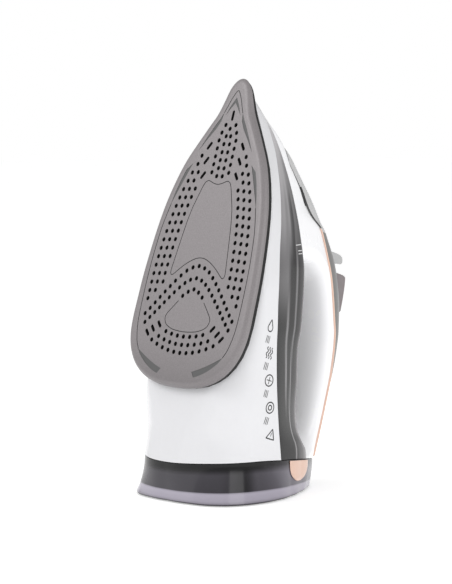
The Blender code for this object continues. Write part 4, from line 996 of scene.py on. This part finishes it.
def pictograms():
    """Plain generic signs for drip, steam, fabric, rinse and warm, along the side beside the tank."""
    found = []
    for number, u in enumerate(SIGN_STATIONS):
        w = float(tank_low_w(u)) - 8.6
        if number == 0:
            found += [ring_points(u - 1.2, w, 2.7, 2.7, 0.09, 0.82),
                      [(u + 0.7, w + 2.1), (u + 4.6, w), (u + 0.7, w - 2.1)]]
        elif number == 1:
            for k in (-1, 0, 1):
                found.append([(u - 4 + s * 0.8, w + 2.4 * k + 0.8 * math.sin(s * 1.25)) for s in range(11)])
        elif number == 2:
            found += [ring_points(u, w, 4.0, 4.0), [(u - 2.6, w), (u + 2.6, w)], [(u, w - 2.6), (u, w + 2.6)]]
        elif number == 3:
            found += [ring_points(u, w, 3.9, 3.9), ring_points(u, w, 1.7, 1.7)]
        else:
            found += [[(u - 3.2, w - 3.9), (u - 3.2, w + 3.9), (u + 3.9, w), (u - 3.2, w - 3.9)],
                      [(u - 1.4, w), (u + 1.2, w)]]
        if number < 4:
            for k in (-1, 0, 1):
                found.append([(u - 9.5 - 2.6, w + 1.5 * k), (u - 9.5 + 2.6, w + 1.5 * k)])
    return found


for side_name, left in (("right", False), ("left", True)):
    thick_lines = [stroke(line, 0.85 if len(line) > 2 else 0.6, 0.05, left) for line in pictograms()]
    mesh = raw_mesh(f"side_print_{side_name}", *joined(*thick_lines), [PRINT], middle=(20, 0, 40))
    show(f"side_print_{side_name}", mesh, "body")
    level = []
    for u, long in ((118.5, 7.0), (114.6, 5.0), (112.6, 5.0)):
        top = float(tank_top_w(u)) - 1.2
        level.append(stroke([(u, top), (u - MARK_SLANT * long, top - long)], 0.6, 0.06, left))
    mesh = raw_mesh(f"level_mark_{side_name}", *joined(*level), [MARK], middle=(116, 0, 30))
    show(f"level_mark_{side_name}", mesh, "body")


# ---------------------------------------------------------------- upper housing, handle cover and lid
def iron_point(x, y, z):
    """From the standing frame (y from the soleplate's heel) to the iron's frame."""
    return (y * SIN + (z - SOLE_HEEL_Z) * COS, x, y * COS - (z - SOLE_HEEL_Z) * SIN)


def below_seam(drop=0.0):
    """A closed block under the heel seam, dropped by some mm, in the iron's frame."""
    rows = []
    for z_low in (False, True):
        for y in np.linspace(-40, 160, 21):
            for x in np.linspace(-80, 80, 17):
                z = -60.0 if z_low else float(seam_z(y, x)) - drop
                rows.append(iron_point(x, y, z))
    faces = []
    for i in range(20):
        for j in range(16):
            a = i * 17 + j
            faces.append((a, a + 1, a + 18, a + 17))
            b = a + 357
            faces.append((b, b + 17, b + 18, b + 1))
    rim = [(0, j) for j in range(16)] + [(i, 16) for i in range(20)] + [(20, j) for j in range(16, 0, -1)]
    rim += [(i, 0) for i in range(20, 0, -1)]
    for k, (i, j) in enumerate(rim):
        m, n = rim[(k + 1) % len(rim)]
        faces.append((i * 17 + j, i * 17 + j + 357, m * 17 + n + 357, m * 17 + n))
    return rows, faces


arch_under = [(98, 59.7), (103, 68), (105, 78), (102, 89), (94, 97.5), (80, 103.5), (65, 107.2), (50, 110), (35, 112),
              (20, 113.3), (6, 113.6), (-4, 112), (-11, 107.5), (-14.5, 101), (-15.2, 97.6)]


def along(points, s):
    """The point at fraction s of the length of a polyline, smoothed through its vertices."""
    points = np.array(points, float)
    length = np.concatenate([[0], np.cumsum(np.linalg.norm(np.diff(points, axis=0), axis=1))])
    t = length / length[-1]
    return np.stack([curve(*zip(t, points[:, 0]))(s), curve(*zip(t, points[:, 1]))(s)], -1)


RIM_STATIONS = (191.9, 189, 186, 183, 179, 174, 170, 161.5, 150, 144, 139, 131, 123, 108, 91, 78, 65, 50, 35, 20, 5,
                -10, -20, -30, -36)


def housing_rim():
    """The outer edge of the upper housing in (u, w): up the prow, along the trim, to the rear."""
    rim = [(float(prow_u(w)), w) for w in (22.5, 28, 34, 39)]
    rim += [(u, float(trim_w(u))) for u in RIM_STATIONS]
    return rim


def housing_grid(columns, rows):
    """Grid of (u, w, half width) over one side of the upper housing."""
    s = np.linspace(0, 1, columns)
    inner = along(arch_under, s)
    # The front quarter of the rim is spread by its own fractions, so that the handle stays square.
    rim = housing_rim()
    outer = along(rim, curve((0, 0), (0.12, 0.24), (0.25, 0.41), (0.4, 0.52), (0.9, 0.93), (1, 1))(s))
    r = np.linspace(0, 1, rows)
    foot = np.stack([inner[0, 0] + (outer[0, 0] - inner[0, 0]) * r, np.zeros(rows)], 1)
    foot[:, 1] = tank_top_w(foot[:, 0]) + GAP / 2
    rear = along([inner[-1], (-20, 103.6), (-27, 106.2), (-35, 109.5), (-38, 117), outer[-1]], r)
    grid = np.zeros((columns, rows, 2))
    for i in range(columns):
        for j in range(rows):
            flat = inner[i] * (1 - r[j]) + outer[i] * r[j]
            at_foot = foot[j] - (inner[0] * (1 - r[j]) + outer[0] * r[j])
            at_rear = rear[j] - (inner[-1] * (1 - r[j]) + outer[-1] * r[j])
            grid[i, j] = flat + at_foot * (1 - s[i]) ** 2 + at_rear * s[i] ** 8
    dense = along(arch_under, np.linspace(0, 1, 240))
    flat = grid.reshape(-1, 2)
    reach = np.sqrt(((flat[:, None] - dense[None]) ** 2).sum(-1)).min(1)
    reach = reach.reshape(columns, rows)
    reach[:, 0] = 0
    u, w = grid[..., 0], grid[..., 1]
    top = np.minimum(w, trim_w(u) - 0.02)
    half = side_v(u, np.where(u < 191, top, w))
    soft = np.clip(reach / HANDLE_ROUND, 0, 1)
    half = half * np.sqrt(np.clip(1 - (1 - soft) ** 2, 0, 1))
    return grid, half


def housing_solid(columns=40, rows=8, lift=0.0):
    grid, half = housing_grid(columns, rows)
    points = []
    for side in (1, -1):
        for i in range(columns):
            for j in range(rows):
                points.append((grid[i, j, 0], side * half[i, j], grid[i, j, 1]))
    shift = columns * rows
    faces = []
    for i in range(columns - 1):
        for j in range(rows - 1):
            a = i * rows + j
            faces.append((a, a + 1, a + rows + 1, a + rows))
            faces.append((shift + a, shift + a + rows, shift + a + rows + 1, shift + a + 1))
        top = i * rows + rows - 1
        faces.append((top, top + shift, top + rows + shift, top + rows))
    for i in (0, columns - 1):
        for j in range(rows - 1):
            a = i * rows + j
            faces.append((a, a + 1, a + 1 + shift, a + shift))
    return points, faces


def pocket_section(u, floor):
    """Ring across the hollow inside the handle, open at the top."""
    top = float(trim_w(u))
    half = max(float(trim_v(u)) - 2.6, 2.0)
    return [(u, -half, top + 14), (u, -half, top - 4), (u, -half + 3.5, floor), (u, half - 3.5, floor),
            (u, half, top - 4), (u, half, top + 14)]


handle_floor = curve((170, 47), (150, 47), (125, 54), (112, 60), (108, 84), (100, 96), (86, 105), (60, 112),
                     (30, 116.5), (0, 118), (-12, 116), (-20, 111), (-60, 111))
pocket = loft([pocket_section(u, float(handle_floor(u))) for u in
               (-90, -60, -30, -20, -12, *np.linspace(0, 172, 44))])
NOZZLE_FROM = Vector((158, 0, 54))
NOZZLE_DIR = Vector((0.889, 0, -0.457)).normalized()


def cap_section(u, inset=0.0, drop=0.0, steps=9):
    """Half-elliptic ring over the trim line at station u."""
    half = max(float(trim_v(u)) - inset, 0.6)
    low = float(trim_w(u)) + GAP
    rise = max(float(crest_w(u)) - low - inset, 0.5)
    points = [(u, -half, low - drop)] if drop else []
    for k in range(steps + 1):
        a = math.pi * k / steps
        points.append((u, -half * math.cos(a), low + rise * math.sin(a)))
    if drop:
        points.append((u, half, low - drop))
    return points


COVER_FRONT = 136.6
LEVER_U = 126.5


def lean_at(u):
    """Slope of the crest line at u, as an angle from +u."""
    return math.atan2(float(crest_w(u + 4)) - float(crest_w(u - 4)), 8.0)


SLIDE_DIR = Vector((math.cos(lean_at(LEVER_U)), 0, math.sin(lean_at(LEVER_U))))
CREST_N = Vector((-SLIDE_DIR.z, 0, SLIDE_DIR.x))
LEVER_AT = Vector((LEVER_U, 0, float(crest_w(LEVER_U))))


def slanted_box(centre, run, rise, low, high, length, half):
    """A box about centre: length along run, from low to high along rise, half width in v."""
    rings = []
    for h in (low, high):
        ring = []
        for a, b in ((-1, -1), (1, -1), (1, 1), (-1, 1)):
            p = centre + run * (a * length / 2) + Vector((0, b * half, 0)) + rise * h
            ring.append(tuple(p))
        rings.append(ring)
    return loft(rings)


LEVER_HALF = 3.0
SLOT_LENGTH = 12.0 + LEVER_SLIDE + 2 * GAP
BUTTON_FROM, BUTTON_TO, BUTTON_HALF = 87.6, 115.0, 10.6
GLAND = Vector((-4.0, 0, 132.0))
GLAND_DIR = Vector((-0.45, 0, 0.89)).normalized()


HEEL_CENTRE_Y = 60.0
HEEL_BOTTOM = 0.6
foot_plan = ((0, -5.6), (20, -4.8), (36, -1.2), (47, 7.0), (53.2, 19), (55.2, 33), (53.4, 52), (47.4, 71), (39, 88),
             (30, 103),
             (18, 118), (9, 126), (0, 129))
PAD_PLACES = ((-32, 24), (32, 24), (-20, 104), (20, 104))
SCREW_PLACES = ((0, 22), (0, 100))


def body_at_seam():
    """Half outline of the body along the heel seam: (x, y, z) from the front round to the rear."""
    found = []
    for w in [BELLY_W, 9.2, 10.5, 13, 17, 23, 30, 38, 48, 60, 72, 84, 96, 104, 110, 116, 122, 127, 130.2, 132, 133.2]:
        z, x = 30.0, 20.0
        for _ in range(8):
            u = (z - SOLE_HEEL_Z + w * SIN) / COS
            x = float(side_v(u, w))
            y = u * SIN + w * COS
            z = float(seam_z(y, x))
        found.append((x, y, z))
    front = (0.0, found[0][1], float(seam_z(found[0][1], 0)))
    rear = (0.0, found[-1][1] + 1.2, found[-1][2])
    return [front, *found, rear]


seam_line = body_at_seam()


def polar(points):
    """Interpolators of radius, and height if given, over the angle about the heel's centre."""
    angles = [math.atan2(p[1] - HEEL_CENTRE_Y, p[0]) for p in points]
    radii = [math.hypot(p[0], p[1] - HEEL_CENTRE_Y) for p in points]
    order = np.argsort(angles)
    a = np.array(angles)[order]
    r = np.array(radii)[order]
    if len(points[0]) == 2:
        return lambda t: float(np.interp(t, a, r))
    z = np.array([p[2] for p in points])[order]
    return lambda t: (float(np.interp(t, a, r)), float(np.interp(t, a, z)))


foot_radius = polar(foot_plan)
seam_radius = polar(seam_line)


def heel_point(angle, k, inset=0.0, low=HEEL_BOTTOM, extra=0.0):
    """A point of the heel's wall: k from 0 at the foot to 1 at the seam."""
    half = math.asin(math.sin(angle))
    side = 1 if math.cos(angle) >= -1e-9 else -1
    top, z_top = seam_radius(half)
    foot = foot_radius(half)
    z = low + (z_top - 0.35 + extra - low) * k
    rise = min(max((z - HEEL_BOTTOM) / (z_top - 0.35 - HEEL_BOTTOM), 0.0), 1.0)
    r = foot + (top - foot) * (1 - (1 - rise) ** 1.7) - inset
    if inset < 1 and k < 0.035:
        r -= 1.0 * (1 - k / 0.035) ** 2
    return iron_point(side * r * math.cos(half), HEEL_CENTRE_Y + r * math.sin(half), z)


def heel_ring(k, inset=0.0, low=HEEL_BOTTOM, extra=0.0, count=44):
    return [heel_point(-math.pi / 2 + 2 * math.pi * j / count, k, inset, low, extra) for j in range(count)]


def upright(outline, low, high):
    """A prism standing on the heel: (x, y) points with y from the soleplate's heel."""
    return loft([[iron_point(x, y, z) for x, y in outline] for z in (low, high)])

bores = [
    prism(circle(VALVE_U, 0, 4.0, 20), 40, 70),
    prism(circle(160, 0, 8.0, 28), 30, 60),
    prism(circle(110, -9, 2.6, 14), 40, 90),
    lathe([(0, 12), (2.9, 12), (2.9, 60), (0, 60)], NOZZLE_FROM, NOZZLE_DIR, 28),
    lathe([(0, -9), (0.95, -9), (0.95, 9), (0, 9)], (LID_HINGE[0], 0, LID_HINGE[1]), (0, 1, 0), 16),
]
lug = lathe([(0, -3), (1.3, -3), (1.3, 3), (0, 3)], (LID_HINGE[0], 0, LID_HINGE[1]), (0, 1, 0), 20)
lug_foot = box((LID_HINGE[0] - 0.9, -2.9, 38), (LID_HINGE[0] + 0.9, 2.9, LID_HINGE[1] - 0.1))
# The upper housing takes the brighter, glowing white: painted light.
housing_mesh = solid_mesh("upper_shell", housing_solid(150, 26), [SHELL_WITH_PAINTED_LIGHT],
                          cuts=[below_seam(-GAP / 2), pocket, *bores], adds=[lug, lug_foot])
show("upper_shell", housing_mesh, "body", ["upper_housing"], bevel=0.35, limit=48, angle=42)

cover_stations = [*np.linspace(-70, 80, 61), *np.linspace(82, COVER_FRONT, 44)]
cover_outer = loft([cap_section(u, steps=30) for u in cover_stations])
cover_inner = loft([cap_section(u, 1.9, 6.0, 18) for u in cover_stations])
lever_slot = slanted_box(LEVER_AT + SLIDE_DIR * 0.8, SLIDE_DIR, CREST_N, -8, 8, SLOT_LENGTH, LEVER_HALF + GAP)
button_frame = [(BUTTON_FROM - GAP, 100), (BUTTON_TO + GAP, 100), (BUTTON_TO + GAP, 160), (BUTTON_FROM - GAP, 160)]
button_hole = prism(button_frame, -BUTTON_HALF - GAP, BUTTON_HALF + GAP, "v")
gland_hole = lathe([(0, -14), (7.6, -14), (7.6, 14), (0, 14)], GLAND, GLAND_DIR, 40)
lens_hole = prism(circle(56, 0, 3.4, 28), 130, 160)
cover_mesh = solid_mesh("handle_back", cover_outer, [COVER, DARK],
                        cuts=[lens_hole, (gland_hole, DARK), (lever_slot, DARK), (button_hole, DARK),
                              below_seam(-GAP / 2), (cover_inner, DARK)])
show("handle_back", cover_mesh, "body", ["handle_cover"], bevel=0.35, limit=48, angle=42)

lid_stations = [*np.linspace(COVER_FRONT + GAP, 187, 72), 188, 189, 190]
lid_outer = loft([cap_section(u, steps=30) for u in lid_stations])
lid_inner = loft([cap_section(u, 1.9, 6.0, 18) for u in np.linspace(COVER_FRONT - 2, 181, 40)])
lid_notch = box((176, -3.4, 34), (200, 3.4, 46.0))
hinge_bore = lathe([(0, -30), (1.0, -30), (1.0, 30), (0, 30)], (LID_HINGE[0], 0, LID_HINGE[1]), (0, 1, 0), 16)
lid_mesh = solid_mesh("fill_lid", lid_outer, [LID], cuts=[lid_inner, lid_notch, hinge_bore])
show("fill_lid", lid_mesh, "lid", ["nose_lid"], bevel=0.3, limit=48, angle=42)


def cap_point(u, angle, lift=0.0):
    """A point of the covers over the trim line, angle in degrees up from the seam, on the right."""
    half = max(float(trim_v(u)), 0.6)
    low = float(trim_w(u)) + GAP
    rise = max(float(crest_w(u)) - low, 0.5)
    a = math.radians(angle)
    return (u, (half + lift) * math.cos(a), low + (rise + lift) * math.sin(a))


def flat_strip(line, width, depth, mirror=1):
    """A soft-edged strip along (point, across, outward) stations."""
    rings = []
    for p, across, out in line:
        p, across, out = Vector(p), Vector(across).normalized(), Vector(out).normalized()
        ring = []
        for k in range(12):
            a = 2 * math.pi * k / 12
            c, s = math.cos(a), math.sin(a)
            q = p + across * (width / 2 * abs(c) ** 0.6 * (1 if c > 0 else -1)) + out * (depth / 2 * abs(s) ** 0.8
                                                                                       * (1 if s > 0 else -1))
            ring.append((q.x, q.y * mirror, q.z))
        rings.append(ring)
    return loft(rings)


for side_name, mirror in (("right", 1), ("left", -1)):
    seal, grip = [], []
    for u in np.linspace(150, 191.6, 60):
        seal.append((u, mirror * (float(trim_v(u)) + 0.45), float(trim_w(u)) + 0.15))
    mesh = raw_mesh(f"lid_seal_{side_name}", *tube_path(seal, 0.7, 10), [BLACK])
    show(f"lid_seal_{side_name}", mesh, "body")
    for u in np.linspace(139, 162, 40):
        here = Vector(cap_point(u, 5))
        up = Vector(cap_point(u, 12)) - Vector(cap_point(u, 0))
        along_strip = Vector(cap_point(u + 1, 5)) - Vector(cap_point(u - 1, 5))
        grip.append((tuple(here), tuple(up), tuple(along_strip.cross(up))))
    mesh = raw_mesh(f"lid_grip_{side_name}", *flat_strip(grip, 2.6, 1.1, mirror), [GLOSS])
    show(f"lid_grip_{side_name}", mesh, "lid")

# ---------------------------------------------------------------- copper trim
for side_name, mirror in (("right", 1), ("left", -1)):
    rings = []
    for u in np.linspace(-21.5, 138.6, 150):
        v, w = float(trim_v(u)), float(trim_w(u))
        end = min(1.0, (u + 21.5) / 1.2 + 0.35, (138.6 - u) / 1.2 + 0.35)
        ring = []
        for k in range(14):
            a = 2 * math.pi * k / 14
            ring.append((u, mirror * (v + 1.1 + 0.75 * math.cos(a) * end), w + 0.16 + 0.85 * math.sin(a) * end))
        rings.append(ring)
    mesh = raw_mesh(f"copper_line_{side_name}", *loft(rings), [COPPER])
    show(f"copper_line_{side_name}", mesh, "body", [f"copper_trim_{side_name}"])

# ---------------------------------------------------------------- dial
collar = lathe([(0, 62), (14.5, 62), (14.5, 72.6), (13.7, 73.4), (0, 73.4)], (DIAL_U, 0, 0), (0, 0, 1), 96)
bore = prism(circle(DIAL_U, 0, 4.2, 24), 40, 90)
show("dial_collar", solid_mesh("dial_collar", collar, [BLACK], cuts=[bore]), "body", bevel=0.2)
profile = [(0, 73.9), (13.6, 73.9), (14.4, 74.05), (16.0, 74.6), (16.4, 75.1), (16.4, 77.6), (16.1, 78.4), (15.4, 79.1),
           (14.2, 79.4), (12.6, 79.45), (12.2, 79.15), (0, 79.25)]
wheel = lathe(profile, (DIAL_U, 0, 0), (0, 0, 1), 288, ridges=48, ridge=0.55, ridged=(3, 4, 5, 6))
pointer = prism([(DIAL_U + 9, -0.7), (DIAL_U + 20, -0.7), (DIAL_U + 20, 0.7), (DIAL_U + 9, 0.7)], 78.7, 84)
socket = prism(circle(DIAL_U, 0, 2.9, 20), 60, 77)
dial_mesh = solid_mesh("dial_wheel", wheel, [DARK, MARK], cuts=[(pointer, MARK), socket])
show("dial_wheel", dial_mesh, "dial", ["temperature_dial"], angle=32)

# ---------------------------------------------------------------- lever and buttons
fin = [(122.9, 112.7), (130.1, 105.9), (130.2, 129.5)]
fin += [tuple(p) for p in smooth_line([(130.2, 129.5), (129.6, 133.0), (128.2, 135.3), (126.0, 136.15),
                                       (124.2, 135.9), (123.2, 134.4), (122.9, 131.0)], 5)[1:]]
carriage = slanted_box(LEVER_AT + SLIDE_DIR * 1.0, SLIDE_DIR, CREST_N, -7.0, -4.3, 9, 5.4)
ribs = [box((129.75, -2.4, w), (131.0, 2.4, w + 0.55)) for w in (122.5, 124.5, 126.5, 128.5, 130.5)]
lever_mesh = solid_mesh("steam_slider", prism(fin, -LEVER_HALF, LEVER_HALF, "v"), [FIN], cuts=ribs, adds=[carriage])
show("steam_slider", lever_mesh, "lever", ["steam_lever"], bevel=0.45, limit=30)

button_side = [(87.6, 121), (114.4, 116), (115.0, 118), (115.0, 131.5)]
button_side += [tuple(p) for p in smooth_line([(115.0, 131.5), (114.6, 133.9), (113.0, 135.7), (105, 137.1),
                                               (96, 137.85), (88.8, 138.15)], 5)[1:]]
button_side += [(87.6, 137.5)]
for name, side in (("spray", 1), ("burst", -1)):
    near, far = sorted((side * 0.3, side * BUTTON_HALF))
    mesh = solid_mesh(f"{name}_key", prism(button_side, near, far, "v"), [BUTTON])
    show(f"{name}_key", mesh, name, [f"{name}_button"], bevel=0.9, segments=4, limit=40)

# ---------------------------------------------------------------- nozzle, lens, cord inlet
nozzle = lathe([(0, 36), (2.6, 36), (2.6, 45.6), (2.3, 46.2), (1.5, 47.1), (0.6, 47.2), (0.45, 45.5), (0, 45.5)],
               NOZZLE_FROM, NOZZLE_DIR, 40)
show("spray_tip", raw_mesh("spray_tip", *nozzle, [BLACK]), "body", ["spray_nozzle"], angle=30)
lens = lathe([(0, 137.2), (3.1, 137.2), (3.1, 140.6), (2.9, 141.2), (2.3, 141.75), (1.3, 142.1), (0, 142.2)],
             (56, 0, 0), (0, 0, 1), 48)
show("lamp_window", raw_mesh("lamp_window", *lens, [AMBER]), "body", ["pilot_lens"], angle=50)
ball = [(3.2, -6.4)]
ball += [(7.2 * math.sin(a), -7.2 * math.cos(a)) for a in np.linspace(math.radians(27), math.radians(133), 30)]
ball += [(5.0, 5.5)]
for k in range(5):
    ball += [(5.0 - 0.05 * k, 5.9 + 1.4 * k), (4.2 - 0.05 * k, 6.2 + 1.4 * k), (4.2 - 0.05 * k, 6.9 + 1.4 * k),
             (5.0 - 0.05 * k, 7.2 + 1.4 * k)]
ball += [(4.5, 12.8), (4.1, 13.0), (3.4, 13.0), (3.2, 12.8)]
boot = lathe(ball, GLAND, GLAND_DIR, 64, closed=True)
show("cord_inlet", raw_mesh("cord_inlet", *boot, [DARK]), "cord_inlet", ["cord_ball"], angle=40)

# ---------------------------------------------------------------- heel piece
HEEL_LEVELS = (0, 0.015, 0.035, 0.06, 0.1, 0.15, 0.2, 0.225, 0.235, 0.26, 0.3, 0.36, 0.42, 0.5, 0.58, 0.66, 0.74, 0.82,
               0.9, 0.96, 1)
HEEL_STEPS = 160
rings = [heel_ring(k, 0.1, count=HEEL_STEPS) for k in HEEL_LEVELS]
heel_uv = [(k, 1 - abs(1 - 2 * j / HEEL_STEPS)) for k in HEEL_LEVELS for j in range(HEEL_STEPS)]
heel_inner = loft([heel_ring(k, 2.6, HEEL_BOTTOM + 3.4, 6.0, 80) for k in (0, 0.12, 0.25, 0.5, 0.75, 1)])
heel_cuts = [(heel_inner, DARK)]
heel_cuts += [(upright(circle(x, y, 6.4, 40), -2, 2.2), DARK) for x, y in PAD_PLACES]
heel_cuts += [(upright(circle(x, y, 3.8, 28), -2, 2.6), DARK) for x, y in SCREW_PLACES]
heel_cuts += [(upright(circle(x, y, 2.0, 20), -2, 8), DARK) for x, y in SCREW_PLACES]
heel_mesh = solid_mesh("heel_shoe", loft(rings), [HEEL_SMOKE_AND_REFLECTION, DARK], cuts=heel_cuts, uv=heel_uv)
show("heel_shoe", heel_mesh, "body", ["heel_base"], bevel=0.25, limit=50, angle=35)

for number, (x, y) in enumerate(PAD_PLACES, 1):
    foot = [(0, 0.0), (4.4, 0.0), (4.7, 0.3), (5.0, 0.0), (5.5, 0.0), (5.85, 0.15), (6.0, 0.45), (6.0, 1.9), (0, 1.9)]
    rings = [[iron_point(x + max(r, 1e-3) * math.cos(a), y + max(r, 1e-3) * math.sin(a), z)
              for a in np.linspace(0, 2 * math.pi, 49)[:-1]] for r, z in foot]
    mesh = raw_mesh(f"foot_pad_{number}", *loft(rings), [RUBBER])
    show(f"foot_pad_{number}", mesh, "body", [f"heel_pad_{number}"], angle=40)
for number, (x, y) in enumerate(SCREW_PLACES, 1):
    head = [(0, 0.8), (2.6, 0.8), (3.1, 0.95), (3.4, 1.3), (3.4, 2.3), (1.6, 2.3), (1.6, 12.0), (0, 12.0)]
    rings = [[iron_point(x + max(r, 1e-3) * math.cos(a), y + max(r, 1e-3) * math.sin(a), z)
              for a in np.linspace(0, 2 * math.pi, 41)[:-1]] for r, z in head]
    cross = [upright([(x - a, y - b), (x + a, y - b), (x + a, y + b), (x - a, y + b)], -1, 1.6)
             for a, b in ((1.9, 0.42), (0.42, 1.9))]
    mesh = solid_mesh(f"foot_screw_{number}", loft(rings), [STEEL], cuts=cross)
    show(f"foot_screw_{number}", mesh, "body", [f"heel_screw_{number}"], angle=35)

for side_name, mirror in (("right", 1), ("left", -1)):
    rows, columns = 26, 22
    points, faces = [], []
    for lift in (-1.3, -0.35):
        for i in range(rows):
            t = 0.015 + 0.985 * (i / (rows - 1)) ** 1.6
            k = 0.39 + 0.59 * t
            for j in range(columns):
                c = 2 * j / (columns - 1) - 1
                a = math.radians(27 + 16 * (1 - (1 - min(1.3 * t, 1)) ** 2) ** 0.5 * c)
                a = a if mirror > 0 else math.pi - a
                ease = max(0.0, 1 - abs(c) ** 6) ** 0.5
                points.append(heel_point(a, k, lift if lift > -1 else -0.5 - 0.8 * ease * min(1, 6 * t)))
    shift = rows * columns
    for i in range(rows - 1):
        for j in range(columns - 1):
            a = i * columns + j
            faces.append((a, a + 1, a + columns + 1, a + columns))
            faces.append((a + shift, a + shift + columns, a + shift + columns + 1, a + shift + 1))
    for j in range(columns - 1):
        last = (rows - 1) * columns
        faces.append((j, j + shift, j + shift + 1, j + 1))
        faces.append((last + j, last + j + 1, last + j + 1 + shift, last + j + shift))
    for i in range(rows - 1):
        a, b = i * columns, i * columns + columns - 1
        faces.append((a, a + columns, a + columns + shift, a + shift))
        faces.append((b, b + shift, b + columns + shift, b + columns))
    mesh = raw_mesh(f"heel_tab_{side_name}", points, faces, [COPPER])
    show(f"heel_tab_{side_name}", mesh, "body", [f"heel_tongue_{side_name}"], angle=45)

# ---------------------------------------------------------------- the inner pieces keep their CAD shape
INNER = {
    "steam_chamber": ALLOY, "chamber_cover": STEEL, "heating_element": STEEL, "thermostat": STEEL,
    "thermal_fuse": BRASS, "insulating_skirt": BLACK, "lid_hinge_pin": STEEL, "filler_funnel": LID,
    "valve_rod": STEEL, "valve_seat": BRASS, "valve_spring": STEEL, "spray_pump": DARK, "burst_pump": DARK,
    "spray_piston": STEEL, "burst_piston": STEEL, "spray_spring": STEEL, "burst_spring": STEEL,
    "spray_hose": SILICONE, "pickup_hose": SILICONE, "dial_shaft": STEEL, "pilot_lamp": STEEL, "cord_clamp": STEEL,
    "terminal_block": WHITE, "heel_liner": DARK,
}
for name, look in INNER.items():
    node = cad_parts[name]
    node.data.materials.clear()
    node.data.materials.append(look)
